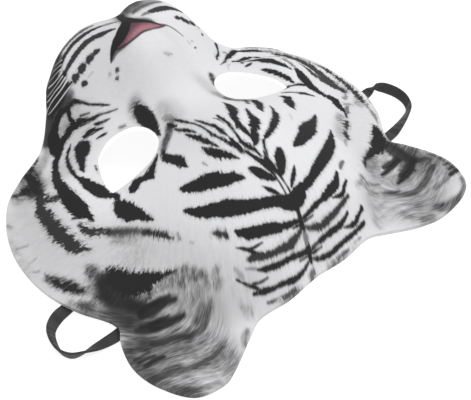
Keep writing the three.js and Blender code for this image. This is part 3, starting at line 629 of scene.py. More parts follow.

# %% [markdown]
# Between the stripes the fur is softly shaded: grey hair in the ears, shadows round the eyes and under the
# nose, and painted shade on the face's sides and at the right cheek's rim. A noise texture would shade it
# anywhere, but these tones have their own places, so each one is a stroke too, with a darkness and with the
# width of its blur. The tones darken each other where they meet.

# %% Soft tones of the right ear, from broad to narrow: how dark, how blurred in millimetres, the points
TONES_AND_PAINTED_SHADE = [
    (0.36, 8, [(64, 86, 3), (72, 74, 8), (82, 64, 8)]),
    (0.2, 6, [(54, 62, 1), (56, 74, 2), (61, 84, 2)]),
    (0.3, 6, [(84, 90, 2), (87, 78, 3.5), (87, 66, 4.5), (86, 54, 3)]),
    (0.52, 3, [(83, 94, 0.5), (90, 86, 1), (93.5, 76, 1.2), (94, 66, 1.2), (91.5, 54, 1.4)]),
    (0.2, 3.5, [(60, 69, 1.5), (70, 70, 2.5), (80, 66, 3)]),
    (0.55, 0.9, [(58, 79, 0), (62, 79.8, 0.4), (66, 81, 0.5), (70, 81.6, 0.5), (76, 81.2, 0.6),
                 (80, 79.9, 0.5), (86, 78, 0.7), (93.5, 76, 1.2)]),
    (0.3, 1.2, [(80, 77.4, 0.2), (86, 76, 0.6), (92, 73.6, 0.4)]),
    (0.25, 2.2, [(57, 77, 0.8), (64, 82, 1), (74, 82.6, 0.8)]),
    (0.3, 1.6, [(72, 93.4, 0.4), (79, 92.8, 0.6), (86, 90, 1.2), (89.5, 87, 1.2)]),
    (0.4, 1.0, [(44, 79.4, 0.4), (46.6, 81.2, 0.8), (49.6, 83.8, 0.4)]),
    (0.55, 0.9, [(51, 62.6, 0.2), (54, 64.2, 0.6), (58, 65.9, 0.6), (62.5, 66.5, 0.5), (66, 66, 0.6),
                 (70, 63.8, 1), (74, 62, 1.4), (78, 60.4, 1.4), (80.6, 58.8, 0.8)]),
    (0.4, 2.5, [(66, 64.6, 0.5), (74, 60.6, 1.2), (84, 57, 1.5)]),
    (0.3, 1.2, [(67, 67, 1), (71, 70.6, 1.2), (75, 69, 1)]),
    (0.35, 0.9, [(54.4, 61, 0.6), (59.6, 62.2, 0.6)]),
    (0.82, 0.9, [(82.2, 68.7, 0.5), (85, 67.7, 0.9), (90.2, 67, 0.3)]),
    (0.75, 0.7, [(84.2, 65, 0.2), (87.4, 64.2, 0.5), (91.4, 63.7, 0.3)]),
    (0.55, 0.5, [(84.6, 61.4, 0.4), (92, 61.2, 0.3)]),
    (0.9, 1.2, [(62.4, 57.5, 0), (66, 56.4, 0.4), (69.4, 55, 1.1), (72.6, 53.4, 1.4), (76, 51.6, 1)]),
    (0.75, 0.6, [(67.6, 53.3, 0), (71.4, 52, 0.4), (75.6, 50.4, 0.5), (79.6, 48.4, 0.3)]),
    (0.6, 1.0, [(74, 54.2, 0.1), (78, 51.6, 0.7), (82, 48.6, 0.4)]),
    (0.9, 1.1, [(62, 51.6, 0), (65.4, 49.8, 0.4), (69, 48.2, 1.3), (72.4, 46.8, 1.6), (76, 44.8, 1.5)]),
    (0.85, 0.9, [(63.4, 49, 0), (67, 47.2, 0.4), (70.6, 45.6, 0.5), (74.4, 43.6, 0.6)]),
    (0.7, 0.5, [(69.6, 43.4, 0), (73.4, 41.8, 0.3), (77, 40, 0.4)]),
    (0.88, 3, [(76.6, 41, 0.4), (79, 36, 1.6), (81, 31, 2.6), (80.4, 25, 2.4)]),
    (0.4, 4, [(77, 49, 1), (79, 44, 1.5)]),
    (0.45, 3.5, [(80, 49, 0.8), (81.6, 42, 1.6), (82.4, 34, 2.2), (82, 26, 2.4)]),
    (0.6, 1.8, [(80.6, 22, 1.8), (82.2, 14, 0.8)]),
    (0.3, 3, [(86, 30, 2), (84, 20, 2)]),
    (0.3, 1.6, [(56, 47.2, 1), (60, 45.6, 0.8), (66, 43.4, 0.6)]),
    (0.32, 3.5, [(83, 55, 1.5), (84, 48, 2.5), (86.4, 41.5, 1.5)]),
    (0.55, 2.4, [(84, 43, 1.5), (86.6, 38, 1.6), (90.5, 34, 1.2), (94, 28.6, 0.8)]),
    (0.55, 0.9, [(84.8, 28.6, 0.6), (85.4, 26.4, 0.8)]),
    (0.4, 1.2, [(92.5, 25.6, 0.8), (94.5, 23, 0.8)]),
    (0.26, 4, [(57, 50, 2), (62, 54, 1.6), (60, 58, 2), (67, 62, 2)]),
    (0.55, 2, [(69, 42.4, 0.6), (73, 40.6, 1), (77, 38.6, 1)]),
]
print("soft tones", len(TONES_AND_PAINTED_SHADE))

# %% Soft tones at the root of the right ear
TONES_AND_PAINTED_SHADE += [
    (0.3, 1.4, [(45.6, 61.2, 0.8), (47, 57.6, 1.3), (51, 56.6, 1), (55.6, 56.6, 0.4)]),
    (0.6, 0.8, [(48.8, 53.7, 0.7), (51.4, 53.1, 0.5)]),
    (0.35, 0.9, [(42.8, 57.4, 0.5), (44, 58, 0.4)]),
    (0.35, 1.0, [(52, 47.4, 0.5), (53.6, 46.2, 0.4)]),
    (0.3, 1.2, [(50.6, 50.8, 0.4), (56.6, 50.2, 0.6)]),
    (0.3, 1.1, [(39, 74.4, 1.2), (40.4, 72, 0.4)]),
]
print("soft tones", len(TONES_AND_PAINTED_SHADE))

# %% Soft tones of the left ear
TONES_AND_PAINTED_SHADE += [
    (0.32, 7, [(-66, 84, 3), (-76, 76, 6), (-84, 70, 5)]),
    (0.1, 8, [(-52, 70, 3), (-58, 62, 3)]),
    (0.28, 5, [(-87.5, 77, 2), (-88, 66, 4), (-88, 56, 3)]),
    (0.4, 1.4, [(-77, 95, 0.4), (-83, 93.6, 0.4), (-88, 88.5, 0.4)]),
    (0.5, 0.7, [(-80, 93.8, 0.2), (-84.6, 91.4, 0.2), (-88.4, 86, 0.2), (-91.4, 78, 0.2),
                (-92.8, 70, 0.2), (-92.8, 62, 0.2)]),
    (0.6, 1.6, [(-78, 94.2, 0.8), (-73.6, 93.7, 1.2), (-70.6, 91.6, 1), (-69.3, 89.2, 0.5)]),
    (0.38, 1.5, [(-64.4, 90.6, 0.8), (-61.6, 88.8, 0.8)]),
    (0.35, 0.9, [(-65, 82.8, 0.5), (-64.6, 81.6, 0.5)]),
    (0.28, 1.3, [(-57.8, 84, 0.5), (-57.2, 79.6, 0.6)]),
    (0.2, 1.6, [(-43, 77, 0.6), (-42.6, 75, 0.6)]),
    (0.85, 0.8, [(-90.6, 82.4, 0.8), (-86.4, 82.3, 0.6)]),
    (0.38, 0.9, [(-86.4, 82.4, 0.6), (-76, 82.3, 0.5)]),
    (0.75, 0.7, [(-91.2, 79.4, 0.7), (-88.8, 79.2, 0.5)]),
    (0.6, 0.6, [(-91.6, 75.7, 0.5), (-90, 75.4, 0.4)]),
    (0.6, 1.0, [(-86.6, 71.2, 0.5), (-82.5, 73, 1.1), (-77.5, 75, 0.9), (-72, 76.2, 0.6),
                (-68, 75.2, 0.5), (-64.5, 71.3, 0.5), (-61.3, 67, 0.5), (-58, 65.3, 0.3)]),
    (0.45, 0.7, [(-65, 68.6, 0.5), (-62.4, 66.8, 0.5), (-59.6, 65, 0.4)]),
    (0.3, 2.2, [(-88, 67, 2), (-83, 68, 1.5), (-79, 69, 0.5)]),
    (0.9, 1.1, [(-84.6, 61, 0.3), (-80, 63.4, 1), (-75.5, 64.8, 1.2), (-72, 65.2, 1),
                (-68.6, 65.5, 0.2)]),
    (0.8, 1, [(-82, 60.6, 0.5), (-77.5, 61.8, 1), (-73.4, 62.9, 0.6)]),
    (0.9, 1, [(-80.8, 54.7, 0.6), (-76, 55, 0.8), (-71, 56, 0.5), (-65, 57.1, 0)]),
    (0.85, 1.1, [(-80.6, 53, 0.6), (-75, 53.2, 0.9), (-69.6, 54, 0.2)]),
    (0.4, 1, [(-81, 58.4, 1), (-76, 59.4, 0.4)]),
    (0.84, 2.2, [(-82.6, 43, 2.6), (-83.8, 50, 2.1), (-84.6, 56.4, 1.3), (-85.4, 60, 0.6)]),
    (0.55, 2.8, [(-87.5, 62, 1.5), (-89, 55, 1.8), (-87.6, 47, 1.4)]),
    (0.35, 0.6, [(-59, 61.1, 0.2), (-52.5, 61.4, 0.3), (-46, 62.3, 0.4)]),
    (0.3, 0.7, [(-57, 64.8, 0.2), (-50.5, 65.1, 0.3), (-44.5, 65.8, 0.4)]),
    (0.5, 0.8, [(-46, 60, 0.5), (-44.6, 59.7, 0.5)]),
    (0.35, 0.9, [(-44.6, 63, 0.8), (-42.4, 62, 0.5), (-38.6, 62.6, 0.4)]),
    (0.22, 2.2, [(-76, 48.6, 0.5), (-66, 50, 0.8), (-57, 53.4, 0.8)]),
    (0.24, 4, [(-64, 52.6, 1.5), (-60, 57, 2), (-68, 62, 1.5)]),
    (0.16, 6, [(-46, 69, 2), (-56, 73, 4), (-62, 80, 3)]),
    (0.4, 1.2, [(-85, 60.4, 0.6), (-82, 59.2, 0.6), (-79, 59.3, 0.4)]),
]
print("soft tones", len(TONES_AND_PAINTED_SHADE))

# %% Soft tones of the forehead's sides, temples and cheeks, partly painted shade
TONES_AND_PAINTED_SHADE += [
    # The next six: the print's soft grey, with painted shade where the face turns from the light
    (0.12, 9, [(38, 66, 1), (47, 54, 3), (56, 41, 4), (64, 30, 3)]),
    (0.12, 10, [(64, 20, 3), (76, 14, 5), (88, 8, 5), (94, -16, 6), (88, -36, 5)]),
    (0.06, 9, [(-60, 50, 2), (-70, 34, 3), (-86, 20, 4)]),
    (0.05, 8, [(20, 78, 1), (34, 72, 2)]),
    (0.06, 9, [(10, -74, 3), (26, -66, 3), (34, -60, 3)]),
    (0.04, 12, [(0, -36, 6), (0, -48, 8)]),
    (0.3, 2, [(97.6, 19, 0.5), (95, 24, 0.5)]),
    (0.1, 5, [(62, -34, 3), (56, -48, 3), (40, -50, 2)]),
    (0.3, 1.5, [(59.5, -57.5, 0.5), (66, -54, 1.2), (70, -52.6, 0.8)]),
    (0.28, 1.8, [(44.5, -58.4, 0.4), (47, -57.6, 1), (50.6, -56.6, 0.8)]),
    (0.1, 1.6, [(39, -56.5, 0.5), (41.5, -55.6, 1)]),
    (0.65, 3, [(76.6, -38, 1), (75.4, -43, 2.2), (74.6, -49, 3), (73.6, -54, 2.6)]),
    (0.35, 2.5, [(77, -41, 1), (80, -47, 2), (84, -49, 1)]),
    (0.8, 1.2, [(54, 23.8, 0.4), (58, 17.4, 0.4), (62.4, 12.8, 0.7), (66.8, 8.2, 0.5)]),
    (0.25, 2, [(60, 19, 0.3), (66, 13, 0.8)]),
    (0.6, 1.5, [(90.5, 18, 0.5), (93, 12, 1.6), (95.6, 7, 1.4), (97.6, 1, 0.6)]),
    (0.5, 1.4, [(91, 27, 1), (94, 23.5, 1.2)]),
    (0.35, 1.4, [(88.6, 19.6, 0.6), (91.4, 16.6, 0.6)]),
    (0.25, 2, [(84, -53, 0.5), (74, -57, 0.5)]),
    # Painted shade: the right cheek darkens along its rim, where the edge turns down
    (0.1, 2, [(101, -30, 1), (103, -10, 1)]),
    (0.35, 1.8, [(-90.5, 15, 0.8), (-93.5, 12, 0.8)]),
    (0.2, 2, [(-93, 3, 0.8), (-93.8, -6, 1)]),
    (0.3, 1.2, [(-66.4, 22.8, 0.8), (-69.6, 20.4, 0.6)]),
    (0.2, 2.6, [(-70, 22, 0.6), (-62, 28, 0.8), (-54, 36, 0.8)]),
]
print("soft tones", len(TONES_AND_PAINTED_SHADE))

# %% Soft tones round the eyes
TONES_AND_PAINTED_SHADE += [
    (0.75, 1.3, [(26.6, -2, 0.2), (23.4, -5, 0.6), (20, -7.6, 0.9), (17, -9.6, 1), (15.4, -11.4, 0.8)]),
    (0.42, 1.0, [(12, -12, 0.4), (12.8, -15, 0.5), (13.6, -17, 0.3)]),
    (0.2, 2.4, [(14, -12.5, 1), (12.6, -17, 1), (12, -22, 1)]),
    (0.1, 3, [(9, -12, 1), (8, -19, 1)]),
    (0.6, 1.6, [(-26.5, -2.5, 0.2), (-22, -6.5, 0.8), (-18.6, -9.8, 1.0)]),
    (0.3, 2.5, [(-19, -11, 1), (-17.6, -15, 1)]),
    (0.14, 4, [(-17, -16, 1), (-16.4, -25, 1)]),
    (0.8, 1.0, [(-23, -24.6, 0.5), (-24.4, -27.6, 0.8), (-26.2, -31.4, 0.4)]),
    (0.55, 2.4, [(20.2, -31, 1.2), (20, -33, 1)]),
]
print("soft tones", len(TONES_AND_PAINTED_SHADE))

# %% Soft tones of the muzzle
TONES_AND_PAINTED_SHADE += [
    (0.6, 2.2, [(0.6, -57, 0.8), (1.6, -62, 1.2), (1, -66, 1.5), (-1, -71, 2), (-3.5, -76, 3),
                (-5, -80, 3.4)]),
    (0.75, 2.2, [(-8, -54.6, 0.2), (-3, -55.8, 0.8), (1, -57, 1.6), (5, -55.8, 1.6), (10, -54, 0.8)]),
    (0.62, 3, [(-6, -69, 1), (-9, -74, 2), (-14, -78.6, 2)]),
    (0.42, 3.5, [(-14, -75, 2), (-24, -78.6, 2)]),
    (0.3, 4, [(-4, -86, 2), (6, -88, 2)]),
    (0.96, 1, [(38, -64.6, 0.6), (41, -65, 1.4), (45, -65.8, 2.2), (47.5, -67.6, 2.2)]),
    (0.96, 1, [(37, -68.4, 0.8), (40.6, -68.6, 1.8), (44, -70.4, 2.6), (45.4, -74, 2)]),
    (0.95, 1.0, [(36.4, -73.4, 1.2), (40, -74, 2.2), (41.6, -77.6, 2.2)]),
    (0.7, 1.4, [(34, -74.8, 0.8), (34.6, -77.4, 1.4), (38, -79, 1.4)]),
    (0.85, 1.8, [(49.6, -67.4, 1.8), (52.4, -64.4, 2.2), (57, -61, 1.2)]),
    (0.7, 1.6, [(40, -61, 0.4), (44, -63, 0.8), (48, -65, 1)]),
    (0.42, 1.0, [(38, -61.4, 0.6), (42, -61.6, 0.9), (45, -62.4, 0.8)]),
]
print("soft tones", len(TONES_AND_PAINTED_SHADE))

# %% [markdown]
# Each point of the sheet has to know how far inside a stroke it lies, how black that stroke is and how
# loose its hairs are. A texture could be drawn with the strokes and read back, but it would have pixels.
# Here the distance to each stroke's curve is worked out for the points that lie near it.

# %% Distance into strokes
FAR = -99.0
STROKE_MARGIN = 6.0
STROKE_STEPS = 4
BLUR_REACH = 2.6


def stroke_depth(x, y, stroke, margin=STROKE_MARGIN):
    """How far each point lies inside a stroke, in millimetres, and the stroke's half width there."""
    points = np.array(stroke, float)
    curve = smooth_curve(points, False, STROKE_STEPS) if len(points) > 2 else points
    depth = np.full(len(x), FAR)
    half = np.zeros(len(x))
    reach = curve[:, 2].max() + margin
    low, high = curve[:, :2].min(0) - reach, curve[:, :2].max(0) + reach
    near = np.flatnonzero((x > low[0]) & (x < high[0]) & (y > low[1]) & (y < high[1]))
    for start, end in zip(curve[:-1], curve[1:]):
        run = end - start
        t = ((x[near] - start[0]) * run[0] + (y[near] - start[1]) * run[1]) / (run[0] ** 2 + run[1] ** 2)
        t = np.clip(t, 0, 1)
        width = start[2] + t * run[2]
        inner = width - np.hypot(x[near] - start[0] - t * run[0], y[near] - start[1] - t * run[1])
        better = inner > depth[near]
        chosen = near[better]
        depth[chosen] = inner[better]
        half[chosen] = width[better]
    return depth, half


def strokes_at(x, y, strokes):
    """The depth, the ink, the looseness and the half width of the stroke that each point lies deepest in."""
    depth = np.full(len(x), FAR)
    ink, loose, half = np.zeros(len(x)), np.ones(len(x)), np.full(len(x), 0.5)
    for strength, looseness, stroke in strokes:
        inner, width = stroke_depth(x, y, stroke)
        better = inner > depth
        depth[better] = inner[better]
        ink[better] = strength
        loose[better] = looseness
        half[better] = width[better]
    return depth, ink, loose, half


def shade_at(x, y):
    """How much light the soft tones leave at each point, from 0 to 1."""
    shade = np.ones(len(x))
    for dark, blur, stroke in TONES_AND_PAINTED_SHADE:
        outside = np.maximum(0, -stroke_depth(x, y, stroke, BLUR_REACH * blur)[0])
        shade *= 1 - dark * np.exp(-((outside / blur) ** 2))
    return shade


# Each stroke with its ink and with how loose the hairs of its edge lie
STRIPES_AND_RIM_SHADE = [(1.0, 1.0, stroke) for stroke in FOREHEAD_STRIPES + MIDDLE_STRIPES + CHEEK_STRIPES]
STRIPES_AND_RIM_SHADE += [(0.97, 1.9, stroke) for stroke in OUTER_STRIPES]
STRIPES_AND_RIM_SHADE += [(0.97, 0.8, stroke) for stroke in MUZZLE_STRIPES]
STRIPES_AND_RIM_SHADE += [(ink, 1.2, stroke) for ink, stroke in GREY_MARKS_AND_RIM_SHADE]
STRIPES_AND_RIM_SHADE += [(ink, 0.6, stroke) for ink, stroke in NOSE_LINES]
STRIPES_AND_RIM_SHADE += [(ink, 1.8, stroke) for ink, stroke in EAR_MARKS]
LIGHT_STROKES = [(light, 1.0, stroke) for light, stroke in WHISKERS]
print("strokes", len(STRIPES_AND_RIM_SHADE), "light strokes", len(LIGHT_STROKES))

# %% [markdown]
# The foam sheet is laminated with printed fabric and cut out after forming. It could be drawn as rings
# round a middle, but the print needs an even mesh, so a fine flat grid is cut to the outline and the
# eye holes. Its border is then drawn onto the true edges, and a copy of it becomes the inside.

# %% Sheet: a flat grid cut to the outline
CELL = 1.18
KEPT_OUTSIDE = 0.3 * CELL
MERGED_BELOW = 0.2 * CELL
columns = math.ceil(2 * HALF_WIDTH / CELL) + 2
rows = math.ceil(2 * HALF_LENGTH / CELL) + 4


def room_in_sheet(x, y):
    """How far each point lies from the sheet's nearest edge, less than 0 outside it, and where that is."""
    distance, inside, nearest = edge_distance(x, y, outline)
    room = np.where(inside, distance, -distance)
    for eye in (right_eye, left_eye):
        gap, within, closest = edge_distance(x, y, eye)
        gap = np.where(within, -gap, gap)
        closer = gap < room
        room = np.where(closer, gap, room)
        nearest = np.where(closer[:, None], closest, nearest)
    return room, nearest


def plan_of(verts):
    """The x and y of mesh points, as two arrays."""
    places = np.array([vert.co for vert in verts])
    return places[:, 0], places[:, 1]


bm = bmesh.new()
bmesh.ops.create_grid(bm, x_segments=columns, y_segments=rows, size=0.5)
bmesh.ops.scale(bm, vec=(columns * CELL, rows * CELL, 1), verts=bm.verts)
room, _ = room_in_sheet(*plan_of(bm.verts))
outside = [vert for vert, inner in zip(bm.verts, room) if inner < -KEPT_OUTSIDE]
bmesh.ops.delete(bm, geom=outside, context="VERTS")
for _ in range(2):
    spikes = [face for face in bm.faces if all(vert.is_boundary for vert in face.verts)]
    bmesh.ops.delete(bm, geom=spikes, context="FACES")
border = [vert for vert in bm.verts if vert.is_boundary]
_, nearest = room_in_sheet(*plan_of(border))
for vert, place in zip(border, nearest):
    vert.co.x, vert.co.y = place
bmesh.ops.remove_doubles(bm, verts=border, dist=MERGED_BELOW)
near_border = [vert for vert in bm.verts if not vert.is_boundary and any(
    edge.other_vert(vert).is_boundary for edge in vert.link_edges)]
bmesh.ops.smooth_vert(bm, verts=near_border, factor=0.5, use_axis_x=True, use_axis_y=True)
print("sheet", len(bm.verts), "points", len(bm.faces), "faces", len(border), "on the border")

# %% [markdown]
# The sheet takes its front heights, and an extruded copy takes the heights of the inside. Solidify would
# thicken it as well, but it would lift the rim off the ground where the walls are steep.
# The knife pinches the fabric at every cut, so the front drops a little at the very edge. Pale foam shows
# on the walls of the eye holes, while the mask's outer edge takes the colours of the print.

# %% Sheet: front, inside and cut edge
PINCH = 0.45
PINCH_REACH = 1.7
THINNEST = 1
EYE_MIDDLE = (38, -18)
EYE_REACH = 24
PRINTED_FRONT, CUT_EDGE, LINING = 0, 1, 2

back_layer = bm.verts.layers.float.new("is_back")
low_layer = bm.verts.layers.float.new("back_height")


def pinched_front(x, y):
    """The front's height, with the drop at the sheet's own edge and round the eye holes."""
    room, _ = room_in_sheet(x, y)
    return front_height(x, y) - PINCH * np.maximum(0, 1 - room / PINCH_REACH) ** 2


def back_points(part):
    """How many points of a face or an edge lie on the inside."""
    return sum(vert[back_layer] for vert in part.verts)


def is_wall(face):
    return 0 < back_points(face) < len(face.verts)


def at_eye(face):
    away = [math.hypot(abs(vert.co.x) - EYE_MIDDLE[0], vert.co.y - EYE_MIDDLE[1]) for vert in face.verts]
    return max(away) < EYE_REACH


x, y = plan_of(bm.verts)
front = pinched_front(x, y)
back = np.minimum(back_height(x, y), front - THINNEST)
bmesh.ops.recalc_face_normals(bm, faces=bm.faces[:])
for vert, high, low in zip(bm.verts, front, back):
    vert.co.z = high
    vert[low_layer] = low
sheet_geometry = bm.verts[:] + bm.edges[:] + bm.faces[:]
lower = bmesh.ops.extrude_face_region(bm, geom=sheet_geometry, use_keep_orig=True)["geom"]
for vert in (item for item in lower if isinstance(item, bmesh.types.BMVert)):
    vert.co.z = vert[low_layer]
    vert[back_layer] = 1
for face in bm.faces:
    if back_points(face) == len(face.verts):
        face.material_index = LINING
    elif is_wall(face) and at_eye(face):
        face.material_index = CUT_EDGE
    else:
        face.material_index = PRINTED_FRONT
for edge in bm.edges:
    edge.smooth = back_points(edge) == 1 or not any(is_wall(face) for face in edge.link_faces)
print("foam walls", sum(face.material_index == CUT_EDGE for face in bm.faces), "faces")

# %% [markdown]
# Stripe edges need more points than plain fur does, so only the faces along them are split into smaller
# ones. An even finer grid would be simpler, but it would spend most of its points where nothing happens.
# The sharp edges of the sheet are left whole, so that front and wall keep the same points.

# %% Sheet: smaller faces along the stripes' edges
WHISKER_REACH = 0.8
EAR_FROM = (52, 44)
DEEP_SHADE = 0.72


def split_along_edges(near_edge, widest, in_ears):
    front_verts = [vert for vert in bm.verts if vert[back_layer] == 0]
    x, y = plan_of(front_verts)
    depth, _, _, half = strokes_at(x, y, STRIPES_AND_RIM_SHADE)
    whisker = strokes_at(x, y, LIGHT_STROKES)[0]
    needed = (np.abs(depth) < near_edge) & (half < widest) | (whisker > -WHISKER_REACH)
    if in_ears:
        needed |= (np.abs(x) > EAR_FROM[0]) & (y > EAR_FROM[1]) & (shade_at(x, y) < DEEP_SHADE)
    chosen = {vert for vert, wanted in zip(front_verts, needed) if wanted}
    in_front = [face for face in bm.faces if back_points(face) == 0 and all(e.smooth for e in face.edges)]
    split = {face for face in in_front if any(vert in chosen for vert in face.verts)}
    edges = [edge for edge in bm.edges if any(face in split for face in edge.link_faces)]
    bmesh.ops.subdivide_edges(bm, edges=edges, cuts=1, use_grid_fill=True)
    print("split", len(edges), "edges, now", len(bm.faces), "faces")


split_along_edges(near_edge=0.75, widest=9, in_ears=True)
split_along_edges(near_edge=0.5, widest=0.55, in_ears=False)
front_verts = [vert for vert in bm.verts if vert[back_layer] == 0]
for vert, height in zip(front_verts, pinched_front(*plan_of(front_verts))):
    vert.co.z = height

# %% Sheet: finished mesh
for face in bm.faces:
    face.smooth = True
bmesh.ops.recalc_face_normals(bm, faces=bm.faces[:])
open_edges = sum(not edge.is_manifold for edge in bm.edges)
bmesh.ops.scale(bm, vec=(MM, MM, MM), verts=bm.verts)
volume_cm3 = bm.calc_volume(signed=True) / (10 * MM) ** 3
shell_mesh = bpy.data.meshes.new("tiger_mask")
bm.to_mesh(shell_mesh)
bm.free()
shell = bpy.data.objects.new("tiger_mask", shell_mesh)
bpy.context.scene.collection.objects.link(shell)
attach(shell, "root")
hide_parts("mask_shell")
print("shell", len(shell_mesh.polygons), "faces, open edges", open_edges, "cm3", round(volume_cm3, 1))

# %% [markdown]
# Fur lies in streams: on the face it runs outwards from between the eyes, in the ears it runs from the
# forehead to the rim. Noise that is stretched along these streams gives hairs and ragged stripe edges.
# Polar coordinates would have a seam, so the angle is kept as a cosine and a sine.

# %% Streams of fur: two numbers across the hairs or round their start, and one along them
FACE_START = (0, -22)
CHEEK_START = (50, 20)
EAR_MIDDLE = 66
OTHER_SIDE = 40


def spreading_fur(dx, dy, strands, stretch):
    """Hairs run outwards from one point, and more of them lie side by side further out."""
    reach = np.hypot(dx, dy) + 4
    around = strands * reach**0.2 / reach
    return np.column_stack([dx * around, dy * around, stretch * reach])


def left_side_step(x):
    """The two sides of the face take their noise from different places."""
    return np.where(x < 0, OTHER_SIDE, 0)


def ear_fur(x, y):
    """Hairs rise from the forehead's side, bend over in the middle of the ear and sink to its rim."""
    out = np.abs(x) - EAR_MIDDLE
    rise_right = np.where(out < 0, -0.024 * out**2, -2.4 * np.log(np.cosh(out / 8)))
    rise_left = 10 * ease(y, 58, 68) * ease(out, -12, 6) - 0.35 * np.maximum(0, out - 6)
    fan_right = 0.02 * np.maximum(0, 60 - y) * np.where(x > 0, out, 0)
    line = y - np.where(x > 0, rise_right, rise_left) + fan_right
    return np.column_stack([0.48 * line, 0.075 * out, left_side_step(x)])


# %% Attributes of the printed front
# Depths are cut off this many millimetres from an edge, where no pattern needs them any more
MOST_DEPTH = 6
MOST_BY_WHISKER = 2
# How far in millimetres the hairs may push an edge, as a share of the stroke's half width and at the ends
RAGGED_SHARE = 0.75
LEAST_RAGGED = 0.12
MOST_RAGGED = 1.1
CALMED = 0.5


def store(name, values):
    """Keeps one number, or three, with every point of the shell, for the material to read."""
    kind, field = ("FLOAT", "value") if values.ndim == 1 else ("FLOAT_VECTOR", "vector")
    layer = shell_mesh.attributes.new(name, kind, "POINT")
    layer.data.foreach_set(field, values.ravel().astype(np.float32))


places = np.zeros(len(shell_mesh.vertices) * 3)
shell_mesh.vertices.foreach_get("co", places)
x, y, _ = places.reshape(-1, 3).T / MM
side = np.abs(x)

fur_face = spreading_fur(x - FACE_START[0], y - FACE_START[1], strands=20, stretch=0.09)
fur_cheek = spreading_fur(side - CHEEK_START[0], y - CHEEK_START[1], strands=11, stretch=0.11)
fur_cheek[:, 2] += left_side_step(x)
store("fur_face", fur_face)
store("fur_cheek", fur_cheek)
store("fur_ear", ear_fur(x, y))
store("cheek", ease(side, 56, 68))
beyond_root = (side - 62) * EAR_WAY[0] + (y - 46) * EAR_WAY[1]
store("ear", ease(beyond_root, 0, 9) * ease(side, 38, 52))

depth, ink, loose, half = strokes_at(x, y, STRIPES_AND_RIM_SHADE)
store("stripe_and_rim_shade_mm", np.clip(depth, -MOST_DEPTH, MOST_DEPTH))
store("stripe_and_rim_shade_ink", ink)
store("loose", loose)
# The short fur on the back of the forehead and on the muzzle leaves calmer edges
calm = np.maximum(ease(y, 28, 48) * (1 - ease(side, 40, 54)), ease(-y, 46, 58))
ragged = np.clip(RAGGED_SHARE * half, LEAST_RAGGED, MOST_RAGGED) * loose
store("ragged_mm", ragged * (1 - CALMED * calm))
store("shade", shade_at(x, y))
pink = np.max([stroke_depth(x, y, stroke)[0] for stroke in NOSE_PINK], axis=0)
store("pink_mm", np.clip(pink, -MOST_DEPTH, MOST_DEPTH))
depth, light, _, _ = strokes_at(x, y, LIGHT_STROKES)
store("whisker_mm", np.clip(depth, -MOST_BY_WHISKER, MOST_BY_WHISKER))
store("whisker_light", light)
triangles = sum(len(face.vertices) - 2 for face in shell_mesh.polygons)
print("attributes", len(shell_mesh.attributes), "triangles", triangles)

# %% [markdown]
# Materials are small graphs of nodes. These helpers add one node and join its inputs, so that a graph
# reads like a formula. The same could be clicked together in the shader editor.

# %% Node helpers
def new_material(name, mesh, inputs=()):
    material = bpy.data.materials.new(name)
    material.use_nodes = True
    mesh.materials.append(material)
    shader = material.node_tree.nodes["Principled BSDF"]
    set_inputs(shader, inputs)
    return material.node_tree, shader


def set_inputs(node, inputs):
    for key, value in dict(inputs).items():
        node.inputs[key].default_value = value


def add_node(tree, kind, inputs=(), **settings):
    node = tree.nodes.new(kind)
    for name, value in settings.items():
        setattr(node, name, value)
    for key, value in dict(inputs).items():
        if isinstance(value, bpy.types.NodeSocket):
            tree.links.new(value, node.inputs[key])
        else:
            node.inputs[key].default_value = value
    return node


def attribute(tree, name, output="Fac"):
    return add_node(tree, "ShaderNodeAttribute", attribute_name=name).outputs[output]


def object_place(tree):
    return add_node(tree, "ShaderNodeTexCoord").outputs["Object"]


def calc(tree, operation, *values, **settings):
    return add_node(tree, "ShaderNodeMath", enumerate(values), operation=operation, **settings).outputs[0]


def noise(tree, vector, scale, detail):
    inputs = {"Vector": vector, "Scale": scale, "Detail": detail}
    return add_node(tree, "ShaderNodeTexNoise", inputs).outputs["Fac"]


def waves(tree, vector, scale, distortion, detail_scale, direction="X"):
    inputs = {"Vector": vector, "Scale": scale, "Distortion": distortion, "Detail Scale": detail_scale}
    return add_node(tree, "ShaderNodeTexWave", inputs, bands_direction=direction).outputs["Fac"]


def mix(tree, factor, first, second):
    inputs = {0: factor, 2: first, 3: second}
    return add_node(tree, "ShaderNodeMix", inputs, data_type="FLOAT").outputs[0]


def mix_color(tree, factor, first, second):
    inputs = {0: factor, 6: first, 7: second}
    return add_node(tree, "ShaderNodeMix", inputs, data_type="RGBA").outputs[2]


def ramp(tree, value, low, high, to_low=0.0, to_high=1.0):
    inputs = {"Value": value, "From Min": low, "From Max": high, "To Min": to_low, "To Max": to_high}
    node = add_node(tree, "ShaderNodeMapRange", inputs, interpolation_type="SMOOTHSTEP")
    return node.outputs["Result"]


def cover(tree, shader, color, relief, roughness, strength, distance):
    """Joins a colour, and a relief that gives both the roughness and the bump. The distance is in metres."""
    tree.links.new(color, shader.inputs["Base Color"])
    tree.links.new(ramp(tree, relief, *roughness), shader.inputs["Roughness"])
    node = add_node(tree, "ShaderNodeBump", {"Height": relief, "Strength": strength, "Distance": distance})
    tree.links.new(node.outputs["Normal"], shader.inputs["Normal"])
    print("material with", len(tree.nodes), "nodes")


# %% [markdown]
# The print is pale fur with charcoal stripes, a pink nose and light whiskers, on a fine matte knit.
# Painted shade joins its soft tones, and a few lines along the rims.
# An image would hold it too, but it would blur up close. Here each stripe's distance is pushed in and out
# by hairs before it becomes ink, and the soft tones are streaked by the same hairs.

